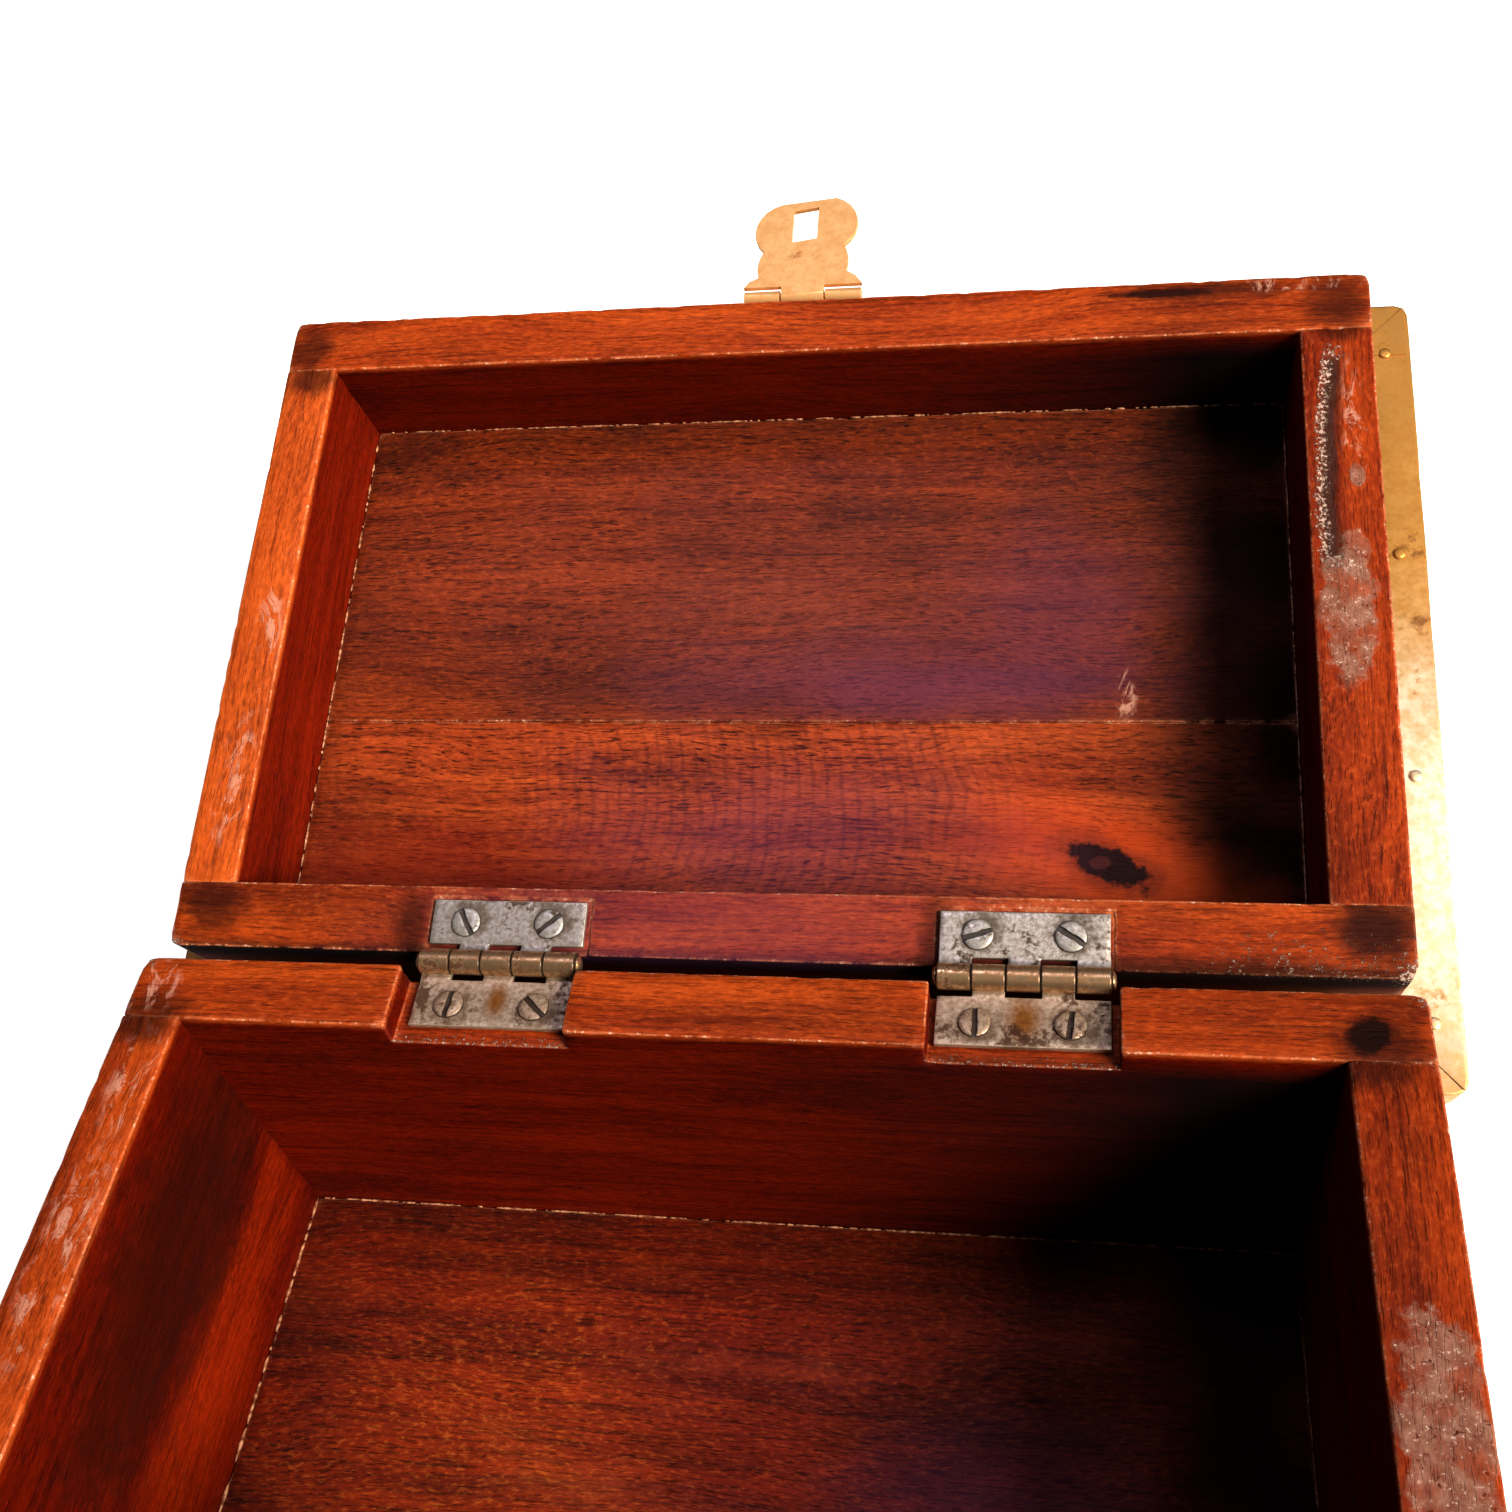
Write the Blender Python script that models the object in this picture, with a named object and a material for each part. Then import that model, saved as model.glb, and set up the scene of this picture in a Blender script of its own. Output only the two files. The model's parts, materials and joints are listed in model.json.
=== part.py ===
"""Tea caddy: a hinged wooden box with an overhanging, brass-clad lid and a scalloped brass hasp.

Frame: origin at the centre of the bottom face, +X to the right, +Y to the hinge side, +Z up.
The lid and its fittings are modelled shut, in this frame, and stand open on their pivots.
"""

import math

import bmesh
import bpy
from mathutils import Matrix, Vector

MM = 0.001
GAP = 0.3 * MM  # between pieces that touch

# Box
WIDTH, DEPTH = 195.0 * MM, 122.5 * MM
LONG_BOARD = 11.0 * MM  # front and back boards, full width
LEFT_BOARD, RIGHT_BOARD = 9.5 * MM, 11.7 * MM  # side boards, butted between them
INNER_DEPTH = 63.0 * MM  # rim to floor
FLOOR_THICK, BOTTOM_THICK = 5.0 * MM, 8.0 * MM
OVERHANG, BACK_OVERHANG = 11.2 * MM, 11.7 * MM
CORNER = 1.2 * MM  # rounding of the boards' outer corners
FLOOR_TOP = BOTTOM_THICK + GAP + FLOOR_THICK
RIM = FLOOR_TOP + INNER_DEPTH
BACK, FRONT = DEPTH / 2, -DEPTH / 2
INNER_X = (-WIDTH / 2 + LEFT_BOARD, WIDTH / 2 - RIGHT_BOARD)
INNER_Y = (FRONT + LONG_BOARD, BACK - LONG_BOARD)

# Lid
LID_RIM = RIM + GAP
LID_DEPTH = 21.4 * MM  # rim to inner panel
LEDGE = 24.6 * MM  # rim to the underside of the overhang
SHEET = 0.5 * MM
TOP_LOW = LEDGE + SHEET + GAP
TOP_THICK = 6.6 * MM
PANEL_SEAM = BACK - 48.9 * MM
OPEN_ANGLE = 161.57

# Hinges: the axis lies outside the back board and below its rim
AXIS_OUT, AXIS_DOWN = 2.15 * MM, 2.3 * MM
AXIS_Y, AXIS_Z = BACK + AXIS_OUT, RIM - AXIS_DOWN
HINGES = {"left": (-39.3 * MM, 0), "right": (41.7 * MM, 1)}  # centre, first knuckle of the lid's leaf
HINGE_LENGTH, KNUCKLES = 25.4 * MM, 5
KNUCKLE_R, HINGE_PIN_R, HINGE_BORE_R = 2.0 * MM, 0.75 * MM, 0.85 * MM
LEAF_THICK, LEAF_REACH = 0.9 * MM, 8.5 * MM  # reach: from the board's outer face inwards
BASE_LEAF_LOW, LID_LEAF_LOW = -2.3 * MM, 1.7 * MM  # heights above the axis, lid shut
MORTISE_X = (-14.0 * MM, 14.6 * MM)
LID_RECESS = 0.3 * MM
SCREW_SPACING = 13.8 * MM
SCREW_Y = BACK - 4.8 * MM
SCREW_HEAD_R, SCREW_HEAD_H, SCREW_R, SCREW_LENGTH = 2.5 * MM, 0.6 * MM, 1.0 * MM, 8.0 * MM
HEAD_GAP = 0.1 * MM  # under the heads of screws and nails

# Hasp: the axis lies in front of the lid's front board, above its rim
HASP_Y, HASP_Z = FRONT - 1.7 * MM, LID_RIM + 1.7 * MM
HASP_KNUCKLE_R, HASP_PIN_R, HASP_BORE_R = 1.35 * MM, 0.5 * MM, 0.6 * MM
HASP_THICK, HASP_OFFSET = 0.9 * MM, 1.4 * MM  # offset: from the axis to the leaf's inner face
TONGUE = 3.9 * MM  # half width of the leaf's own knuckle
HASP_HALF = 10.9 * MM
FOOT = 1.55 * MM  # from the axis to the edges that pass the other knuckles
SLOT_X, SLOT_HALF, SLOT_S = -0.3 * MM, 2.3 * MM, (11.6 * MM, 18.6 * MM)
STAPLE_Z = RIM - 13.1 * MM
STAPLE_R, STAPLE_HALF, STAPLE_OUT, STAPLE_IN = 0.75 * MM, 2.3 * MM, 2.9 * MM, 7.0 * MM

# Nails through the folded brass
NAIL_HEAD_R, NAIL_HEAD_H, NAIL_R, NAIL_LENGTH = 1.05 * MM, 0.55 * MM, 0.35 * MM, 5.0 * MM
NAIL_OUT = 6.7 * MM  # from the boards' outer faces to the nails
NAILS_LONG, NAILS_SHORT = 4, 4


def clear_scene():
    for item in list(bpy.data.objects):
        bpy.data.objects.remove(item, do_unlink=True)


def material(name, color, roughness, metallic):
    made = bpy.data.materials.new(name)
    made.use_nodes = True
    shader = made.node_tree.nodes["Principled BSDF"]
    shader.inputs["Base Color"].default_value = (*color, 1.0)
    shader.inputs["Roughness"].default_value = roughness
    shader.inputs["Metallic"].default_value = metallic
    return made


def add(name, bm, look=None, pivot=None, smooth=False):
    """An object from a bmesh. Without a look it is a cutter or a helper, which isn't rendered."""
    mesh = bpy.data.meshes.new(name)
    bmesh.ops.recalc_face_normals(bm, faces=bm.faces)
    bm.to_mesh(mesh)
    bm.free()
    made = bpy.data.objects.new(name, mesh)
    bpy.context.scene.collection.objects.link(made)
    if smooth:
        mesh.shade_smooth()
        mesh.set_sharp_from_angle(angle=math.radians(40))
    if pivot is not None:
        made.parent = pivot
        made.matrix_parent_inverse = Matrix.Translation(-Vector(pivot["at"]))
    if look is None:
        made.hide_render = True
        made.display_type = "WIRE"
    else:
        mesh.materials.append(look)
    return made


def pivot_at(name, point, angle, parent=None):
    """An empty on a joint's axis, along X, turned from the shut position."""
    made = bpy.data.objects.new(name, None)
    bpy.context.scene.collection.objects.link(made)
    made["at"] = point
    made.location = point
    if parent is not None:
        made.parent = parent
        made.matrix_parent_inverse = Matrix.Translation(-Vector(parent["at"]))
    made.rotation_euler.x = math.radians(angle)
    return made


def boolean(target, other, operation):
    modifier = target.modifiers.new(operation.title(), "BOOLEAN")
    modifier.operation = operation
    modifier.solver = "EXACT"
    modifier.object = other


def put_box(bm, low, high):
    made = bmesh.ops.create_cube(bm, size=1.0)
    low, high = Vector(low), Vector(high)
    for vertex in made["verts"]:
        vertex.co = Vector(l + (h - l) * (c + 0.5) for l, h, c in zip(low, high, vertex.co))


def put_turned(bm, profile, point, axis, sides):
    """A solid turned from (radius, height) pairs, from one end on its axis to the other."""
    turn = Vector((0, 0, 1)).rotation_difference(Vector(axis)).to_matrix()
    rings = []
    for radius, height in profile:
        if radius == 0:
            rings.append([bm.verts.new(turn @ Vector((0, 0, height)) + Vector(point))])
            continue
        ring = []
        for i in range(sides):
            a = 2 * math.pi * (i + 0.5) / sides
            local = Vector((radius * math.cos(a), radius * math.sin(a), height))
            ring.append(bm.verts.new(turn @ local + Vector(point)))
        rings.append(ring)
    for near, far in zip(rings, rings[1:]):
        for i in range(sides):
            j = (i + 1) % sides
            corners = (near[i % len(near)], near[j % len(near)], far[j % len(far)], far[i % len(far)])
            bm.faces.new(dict.fromkeys(corners))


def put_cylinder(bm, point, axis, radius, length, sides):
    put_turned(bm, [(0, 0), (radius, 0), (radius, length), (0, length)], point, axis, sides)


def put_prism(bm, outline, along, start, end):
    """A prism of a closed outline of points, pushed along a unit vector from start to end."""
    near = [bm.verts.new(Vector(p) + Vector(along) * start) for p in outline]
    far = [bm.verts.new(Vector(p) + Vector(along) * end) for p in outline]
    bm.faces.new(near)
    bm.faces.new(far)
    for i in range(len(near)):
        j = (i + 1) % len(near)
        bm.faces.new((near[i], near[j], far[j], far[i]))


def arc(start, end, bulge, steps):
    """Points on the arc from start to end, without start, that stands bulge out to its right."""
    (ax, ay), (bx, by) = start, end
    chord = math.hypot(bx - ax, by - ay)
    radius = (chord * chord / 4 + bulge * bulge) / (2 * bulge)
    half = math.asin(min(1.0, chord / 2 / radius))
    dx, dy = (bx - ax) / chord, (by - ay) / chord
    cx = (ax + bx) / 2 - dy * (radius - bulge)
    cy = (ay + by) / 2 + dx * (radius - bulge)
    first = math.atan2(ay - cy, ax - cx)
    turns = (first + 2 * half * i / steps for i in range(1, steps + 1))
    return [(cx + radius * math.cos(a), cy + radius * math.sin(a)) for a in turns]


def rounded(half_x, low_y, high_y, radius, steps=3):
    """Corners of a rounded rectangle about x = 0, in order."""
    points = []
    corners = ((1, high_y, 0), (-1, high_y, 90), (-1, low_y, 180), (1, low_y, 270))
    for side, y, start in corners:
        cx = side * (half_x - radius)
        cy = y - radius if y == high_y else y + radius
        for i in range(steps + 1):
            a = math.radians(start + 90 * i / steps)
            points.append((cx + radius * math.cos(a), cy + radius * math.sin(a)))
    return points


def long_board(name, low_y, low_z, high_z, outer, look, pivot=None):
    """A front or back board across the full width, with its two outer corners rounded."""
    x, y0, y1 = WIDTH / 2, low_y, low_y + LONG_BOARD
    bm = bmesh.new()
    round_y, flat_y, way = (y1, y0, 1) if outer > 0 else (y0, y1, -1)
    points = [(-x, flat_y), (x, flat_y)]
    for side in (1, -1):
        centre = (side * (x - CORNER), round_y - way * CORNER)
        turns = [math.radians(a) for a in (0, 30, 60, 90)]
        for a in turns if side == 1 else reversed(turns):
            points.append((centre[0] + side * CORNER * math.cos(a), centre[1] + way * CORNER * math.sin(a)))
    put_prism(bm, [(px, py, 0) for px, py in points], (0, 0, 1), low_z, high_z)
    return add(name, bm, look, pivot)


def board(name, low, high, look, pivot=None):
    bm = bmesh.new()
    put_box(bm, low, high)
    return add(name, bm, look, pivot)


def side_boards(prefix, low_z, high_z, look, pivot=None):
    y0, y1 = INNER_Y[0] + GAP, INNER_Y[1] - GAP
    board(prefix + "_left_board", (-WIDTH / 2, y0, low_z), (INNER_X[0], y1, high_z), look, pivot)
    board(prefix + "_right_board", (INNER_X[1], y0, low_z), (WIDTH / 2, y1, high_z), look, pivot)


def hinge_screw_places():
    for name, (centre, _) in HINGES.items():
        for side, sign in (("a", -1), ("b", 1)):
            yield name, side, centre + sign * SCREW_SPACING / 2


def mortises():
    """Cuts through the back board for the hinges, down to the beds of the base's leaves."""
    bm = bmesh.new()
    for centre, _ in HINGES.values():
        low = (centre + MORTISE_X[0], INNER_Y[1] - 2 * MM, AXIS_Z + BASE_LEAF_LOW - GAP)
        put_box(bm, low, (centre + MORTISE_X[1], BACK + 2 * MM, RIM + 2 * MM))
    return bm


def lid_recesses():
    """Shallow beds for the lid's leaves."""
    bm = bmesh.new()
    for centre, _ in HINGES.values():
        low = (centre - HINGE_LENGTH / 2 - MM, BACK - LEAF_REACH - MM, LID_RIM - MM)
        put_box(bm, low, (centre + HINGE_LENGTH / 2 + MM, BACK + MM, LID_RIM + LID_RECESS))
    return bm


def hinge_pilots(start, way):
    """Pilot holes for the hinges' screws, up (way 1) or down (way -1) from a height."""
    bm = bmesh.new()
    for _, _, x in hinge_screw_places():
        mouth = (x, SCREW_Y, start - way * 0.2 * MM)
        put_cylinder(bm, mouth, (0, 0, way), SCREW_R + GAP, SCREW_LENGTH + MM, 8)
    return bm


def bottom_screw_places():
    for name, y in (("front", FRONT + LONG_BOARD / 2), ("back", BACK - LONG_BOARD / 2)):
        for side, sign in (("left", -1), ("right", 1)):
            yield f"{name}_{side}", (sign * (WIDTH / 2 - 22 * MM), y)


def bottom_screw_holes(where, low, high, radius):
    bm = bmesh.new()
    for name, (x, y) in bottom_screw_places():
        if where in name:
            put_cylinder(bm, (x, y, low), (0, 0, 1), radius, high - low, 8)
    return bm


def base_boards(wood):
    low = BOTTOM_THICK + GAP
    back = long_board("base_back_board", INNER_Y[1], low, RIM, 1, wood)
    front = long_board("base_front_board", FRONT, low, RIM, -1, wood)
    side_boards("base", low, RIM, wood)
    boolean(back, add("cut_mortises", mortises()), "DIFFERENCE")
    pilots = hinge_pilots(AXIS_Z + BASE_LEAF_LOW - GAP, -1)
    boolean(back, add("cut_base_hinge_screws", pilots), "DIFFERENCE")
    for target, where in ((back, "back"), (front, "front")):
        holes = bottom_screw_holes(where, low - MM, low + 9 * MM, SCREW_R + GAP)
        boolean(target, add(f"cut_{where}_bottom_screws", holes), "DIFFERENCE")
    legs = bmesh.new()
    for sign in (-1, 1):
        z = STAPLE_Z + sign * STAPLE_HALF
        put_cylinder(legs, (SLOT_X, FRONT - MM, z), (0, 1, 0), STAPLE_R + GAP, STAPLE_IN + 1.5 * MM, 8)
    boolean(front, add("cut_staple_legs", legs), "DIFFERENCE")


def floor_and_bottom(wood):
    low = BOTTOM_THICK + GAP
    corner = (INNER_X[0] + GAP, INNER_Y[0] + GAP, low)
    board("base_floor_panel", corner, (INNER_X[1] - GAP, INNER_Y[1] - GAP, FLOOR_TOP), wood)
    bm = bmesh.new()
    ease = 2.0 * MM
    outline = rounded(WIDTH / 2 + OVERHANG, FRONT - OVERHANG, BACK + OVERHANG, 2.5 * MM)
    inset = rounded(WIDTH / 2 + OVERHANG - ease, FRONT - OVERHANG + ease, BACK + OVERHANG - ease, 1.5 * MM)
    levels = ((outline, 0), (outline, BOTTOM_THICK - ease), (inset, BOTTOM_THICK))
    rings = [[bm.verts.new((x, y, z)) for x, y in points] for points, z in levels]
    close_rings(bm, rings)
    bottom = add("base_bottom_board", bm, wood)
    bore = bmesh.new()
    for _, (x, y) in bottom_screw_places():
        sink = SCREW_HEAD_H + MM
        profile = [(0, -MM), (SCREW_HEAD_R + GAP, -MM), (SCREW_HEAD_R + GAP, sink), (SCREW_R + GAP, sink)]
        profile += [(SCREW_R + GAP, BOTTOM_THICK + MM), (0, BOTTOM_THICK + MM)]
        put_turned(bore, profile, (x, y, 0), (0, 0, 1), 12)
    boolean(bottom, add("cut_bottom_counterbores", bore), "DIFFERENCE")


def close_rings(bm, rings):
    """Sides between rings of equal count, and a cap on the first and the last."""
    for near, far in zip(rings, rings[1:]):
        for i in range(len(near)):
            j = (i + 1) % len(near)
            bm.faces.new((near[i], near[j], far[j], far[i]))
    bm.faces.new(rings[0])
    bm.faces.new(rings[-1])


def screw_mesh(turn):
    """A slotted, domed screw along -Z with the head's underside at z = 0; turn sets its slot."""
    bm = bmesh.new()
    profile = [(0, SCREW_HEAD_H), (0.5 * SCREW_HEAD_R, 0.85 * SCREW_HEAD_H)]
    profile += [(0.85 * SCREW_HEAD_R, 0.5 * SCREW_HEAD_H), (SCREW_HEAD_R, 0.12 * MM), (SCREW_HEAD_R, 0)]
    profile += [(SCREW_R, 0), (SCREW_R, 1.5 * MM - SCREW_LENGTH), (0, -SCREW_LENGTH)]
    put_turned(bm, profile, (0, 0, 0), (0, 0, 1), 12)
    slot = bmesh.new()
    put_box(slot, (-3 * MM, -0.4 * MM, 0.2 * MM), (3 * MM, 0.4 * MM, 2 * MM))
    bmesh.ops.rotate(slot, verts=slot.verts, matrix=Matrix.Rotation(math.radians(turn), 3, "Z"))
    return bm, slot


def screw(name, point, down, turn, look, pivot=None):
    """down is the way the shank points."""
    rotation = Vector((0, 0, -1)).rotation_difference(Vector(down)).to_matrix().to_4x4()
    place = Matrix.Translation(Vector(point)) @ rotation
    body, slot = screw_mesh(turn)
    for bm in (body, slot):
        bmesh.ops.transform(bm, matrix=place, verts=bm.verts)
    made = add(name, body, look, pivot, smooth=True)
    boolean(made, add(f"cut_{name}_slot", slot, pivot=pivot), "DIFFERENCE")


def hinge_screws(look, lid):
    slots = {"left": ((60, -40), (86, -42)), "right": ((-20, 32), (90, 84))}
    for name, side, x in hinge_screw_places():
        lid_turn, base_turn = (turns["ab".index(side)] for turns in slots[name])
        lid_face = AXIS_Z + LID_LEAF_LOW
        base_face = AXIS_Z + BASE_LEAF_LOW + LEAF_THICK
        lid_point = (x, SCREW_Y, lid_face - HEAD_GAP)
        base_point = (x, SCREW_Y, base_face + HEAD_GAP)
        screw(f"hinge_{name}_lid_screw_{side}", lid_point, (0, 0, 1), lid_turn, look, lid)
        screw(f"hinge_{name}_base_screw_{side}", base_point, (0, 0, -1), base_turn, look)


def bottom_screws(look):
    for name, (x, y) in bottom_screw_places():
        point = (x, y, SCREW_HEAD_H + MM - HEAD_GAP)
        screw(f"bottom_screw_{name}", point, (0, 0, 1), 20 if x > 0 else 65, look)


def leaf(name, centre, own_first, low, crank, look, pivot=None):
    """A leaf with its share of the knuckles. low is the plate's underside above the axis,
    and crank is how far the plate steps towards the axis where it meets the knuckles."""
    half = HINGE_LENGTH / 2
    inner, bend = BACK - LEAF_REACH, AXIS_Y - 3.4 * MM
    near = AXIS_Y - 1.4 * MM
    z0, z1 = AXIS_Z + low, AXIS_Z + low + LEAF_THICK
    profile = [(inner, z0), (bend, z0), (near, z0 - crank), (AXIS_Y, z0 - crank)]
    profile += [(AXIS_Y, z1 - crank), (near, z1 - crank), (bend, z1), (inner, z1)]
    bm = bmesh.new()
    put_prism(bm, [(0, y, z) for y, z in profile], (1, 0, 0), centre - half, centre + half)
    made = add(name, bm, look, pivot)
    pitch = HINGE_LENGTH / KNUCKLES
    notches, barrels, bores = bmesh.new(), bmesh.new(), bmesh.new()
    for i in range(KNUCKLES):
        x0, x1 = centre - half + i * pitch, centre - half + (i + 1) * pitch
        if i % 2 == own_first:
            start = x0 if i == 0 else x0 + GAP / 2
            end = x1 if i == KNUCKLES - 1 else x1 - GAP / 2
            put_cylinder(barrels, (start, AXIS_Y, AXIS_Z), (1, 0, 0), KNUCKLE_R, end - start, 16)
        else:
            low_x = x0 - (MM if i == 0 else GAP / 2)
            high_x = x1 + (MM if i == KNUCKLES - 1 else GAP / 2)
            notch_y = AXIS_Y - KNUCKLE_R - 0.5 * MM
            put_box(notches, (low_x, notch_y, AXIS_Z - 4 * MM), (high_x, AXIS_Y + 4 * MM, AXIS_Z + 4 * MM))
    put_cylinder(bores, (centre - half - MM, AXIS_Y, AXIS_Z), (1, 0, 0), HINGE_BORE_R, 2 * half + 2 * MM, 16)
    for sign in (-1, 1):
        x = centre + sign * SCREW_SPACING / 2
        put_cylinder(bores, (x, SCREW_Y, z0 - MM), (0, 0, 1), SCREW_R + GAP, LEAF_THICK + 2 * MM, 12)
    boolean(made, add(f"cut_{name}_notches", notches, pivot=pivot), "DIFFERENCE")
    boolean(made, add(f"join_{name}_knuckles", barrels, pivot=pivot), "UNION")
    boolean(made, add(f"cut_{name}_holes", bores, pivot=pivot), "DIFFERENCE")


def hinge_pin(name, centre, look):
    """A pin with a low rounded head at each end, just clear of the knuckles."""
    half, head_r, head_h = HINGE_LENGTH / 2 + HEAD_GAP, 1.5 * MM, 0.7 * MM
    end = [(0, 0), (0.6 * head_r, 0.12 * MM), (0.9 * head_r, 0.35 * MM), (head_r, head_h), (HINGE_PIN_R, head_h)]
    length = 2 * (half + head_h)
    profile = end + [(r, length - h) for r, h in reversed(end)]
    bm = bmesh.new()
    put_turned(bm, profile, (centre - half - head_h, AXIS_Y, AXIS_Z), (1, 0, 0), 12)
    add(name, bm, look, smooth=True)


def hinges(look, lid):
    for name, (centre, lid_first) in HINGES.items():
        lid_own, base_own = (1, 0) if lid_first == 0 else (0, 1)
        leaf(f"hinge_{name}_base_leaf", centre, base_own, BASE_LEAF_LOW, -0.3 * MM, look)
        leaf(f"hinge_{name}_lid_leaf", centre, lid_own, LID_LEAF_LOW, 0.6 * MM, look, lid)
        hinge_pin(f"hinge_{name}_pin", centre, look)


def lid_boards(wood, lid):
    high = LID_RIM + TOP_LOW - GAP
    back = long_board("lid_back_board", INNER_Y[1], LID_RIM, high, 1, wood, lid)
    front = long_board("lid_front_board", FRONT, LID_RIM, high, -1, wood, lid)
    side_boards("lid", LID_RIM, high, wood, lid)
    boolean(back, add("cut_lid_recesses", lid_recesses(), pivot=lid), "DIFFERENCE")
    holes = hinge_pilots(LID_RIM + LID_RECESS, 1)
    boolean(back, add("cut_lid_hinge_screws", holes, pivot=lid), "DIFFERENCE")
    pilots = bmesh.new()
    for x, z in hasp_nail_places():
        put_cylinder(pilots, (x, FRONT - MM, z), (0, 1, 0), NAIL_R + GAP, NAIL_LENGTH + 1.5 * MM, 8)
    boolean(front, add("cut_hasp_nails", pilots, pivot=lid), "DIFFERENCE")
    low = LID_RIM + LID_DEPTH
    x0, x1 = INNER_X[0] + GAP, INNER_X[1] - GAP
    seam = PANEL_SEAM
    board("lid_panel_front", (x0, INNER_Y[0] + GAP, low), (x1, seam - GAP / 2, high), wood, lid)
    board("lid_panel_rear", (x0, seam + GAP / 2, low), (x1, INNER_Y[1] - GAP, high), wood, lid)


def top_outline(inset, radius):
    return rounded(WIDTH / 2 + OVERHANG - inset, FRONT - OVERHANG + inset, BACK + BACK_OVERHANG - inset, radius)


def cover_nail_places():
    """Along each edge of the overhang, outside the boards."""
    reach_x, front, back = WIDTH / 2 + NAIL_OUT, FRONT - NAIL_OUT, BACK + NAIL_OUT
    for i in range(NAILS_LONG):
        x = (i - (NAILS_LONG - 1) / 2) * WIDTH / NAILS_LONG
        yield x, front
        yield x, back
    for i in range(NAILS_SHORT):
        y = BACK + 0.7 * MM - i * (DEPTH + 1.4 * MM) / (NAILS_SHORT - 1)
        yield -reach_x, y
        yield reach_x, y


def lid_top(wood, brass, lid):
    """The top board, and the sheet over it, which is folded under its overhang up to the boards."""
    low, high = LID_RIM + TOP_LOW, LID_RIM + TOP_LOW + TOP_THICK
    bm = bmesh.new()
    points = top_outline(SHEET + GAP, 1.7 * MM)
    put_prism(bm, [(x, y, 0) for x, y in points], (0, 0, 1), low, high)
    top = add("lid_top_board", bm, wood, lid)
    pilots, holes = bmesh.new(), bmesh.new()
    for x, y in cover_nail_places():
        put_cylinder(pilots, (x, y, low - MM), (0, 0, 1), NAIL_R + GAP, NAIL_LENGTH + 1.2 * MM, 6)
        put_cylinder(holes, (x, y, low - 3 * MM), (0, 0, 1), NAIL_R + 0.2 * MM, 3.2 * MM, 6)
    boolean(top, add("cut_top_nails", pilots, pivot=lid), "DIFFERENCE")
    fold, roof = 0.5 * MM, high + GAP + SHEET
    under = LID_RIM + LEDGE
    mouth = rounded(WIDTH / 2 + GAP, FRONT - GAP, BACK + GAP, 0.2 * MM)
    inner = top_outline(SHEET, 2.0 * MM)
    levels = [(inner, high + GAP), (inner, under + SHEET), (mouth, under + SHEET), (mouth, under)]
    levels += [(top_outline(fold, 2.2 * MM), under), (top_outline(0, 2.5 * MM), under + fold)]
    levels += [(top_outline(0, 2.5 * MM), roof - fold), (top_outline(fold, 2.2 * MM), roof)]
    bm = bmesh.new()
    close_rings(bm, [[bm.verts.new((x, y, z)) for x, y in points] for points, z in levels])
    cover = add("lid_brass_cover", bm, brass, lid)
    boolean(cover, add("cut_cover_nails", holes, pivot=lid), "DIFFERENCE")


def nail(name, point, down, look, pivot=None):
    profile = [(0, NAIL_HEAD_H), (0.55 * NAIL_HEAD_R, 0.8 * NAIL_HEAD_H), (NAIL_HEAD_R, 0.1 * MM)]
    profile += [(NAIL_HEAD_R, 0), (NAIL_R, 0), (NAIL_R, MM - NAIL_LENGTH), (0, -NAIL_LENGTH)]
    bm = bmesh.new()
    put_turned(bm, profile, point, (-Vector(down)).to_tuple(), 8)
    add(name, bm, look, pivot, smooth=True)


def nails(look, lid):
    for i, (x, y) in enumerate(cover_nail_places(), 1):
        nail(f"cover_nail_{i:02d}", (x, y, LID_RIM + LEDGE - HEAD_GAP), (0, 0, 1), look, lid)
    for side, (x, z) in zip(("left", "right"), hasp_nail_places()):
        y = FRONT - GAP - HASP_THICK - HEAD_GAP
        nail(f"hasp_nail_{side}", (x, y, z), (0, 1, 0), look, lid)


def hasp_nail_places():
    return [(sign * 6.0 * MM, HASP_Z + 8.5 * MM) for sign in (-1, 1)]


def hasp_outline():
    """The leaf's scalloped outline as (x, distance from the axis), cut by hand and so a little uneven."""
    tongue = [(TONGUE, FOOT), (TONGUE, 0), (-TONGUE, 0), (-TONGUE, FOOT)]
    left = [(-HASP_HALF, FOOT), (-8.3 * MM, 3.7 * MM), (-7.7 * MM, 9.4 * MM), (-4.9 * MM, 19.9 * MM)]
    right = [(HASP_HALF, FOOT), (7.8 * MM, 4.5 * MM), (7.2 * MM, 10.2 * MM), (5.2 * MM, 20.9 * MM)]
    bulges, steps = (0.4 * MM, 0.6 * MM, 3.2 * MM), (2, 4, 8)
    points = tongue + [left[0]]
    for start, end, bulge, count in zip(left, left[1:], bulges, steps):
        points += [(-x, s) for x, s in arc((-start[0], start[1]), (-end[0], end[1]), bulge, count)]
    going_up = [right[0]]
    for start, end, bulge, count in zip(right, right[1:], bulges, steps):
        going_up += arc(start, end, bulge, count)
    return points + going_up[::-1]


def plate_outline():
    """The hasp plate's outline as (x, height above the axis): two small lobes and a round top."""
    corners = [(HASP_HALF, 0), (HASP_HALF - 2 * MM, 5 * MM), (HASP_HALF - 3.4 * MM, 11.5 * MM), (0, 17 * MM)]
    right = [corners[0]]
    for start, end, bulge, count in zip(corners, corners[1:], (0.5 * MM, 1.1 * MM, 1.6 * MM), (3, 4, 5)):
        right += arc(start, end, bulge, count)
    left = [(-x, z) for x, z in right[-2::-1]]
    notch = [(-TONGUE - GAP, 0), (-TONGUE - GAP, FOOT), (TONGUE + GAP, FOOT), (TONGUE + GAP, 0)]
    return right + left + notch


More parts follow.
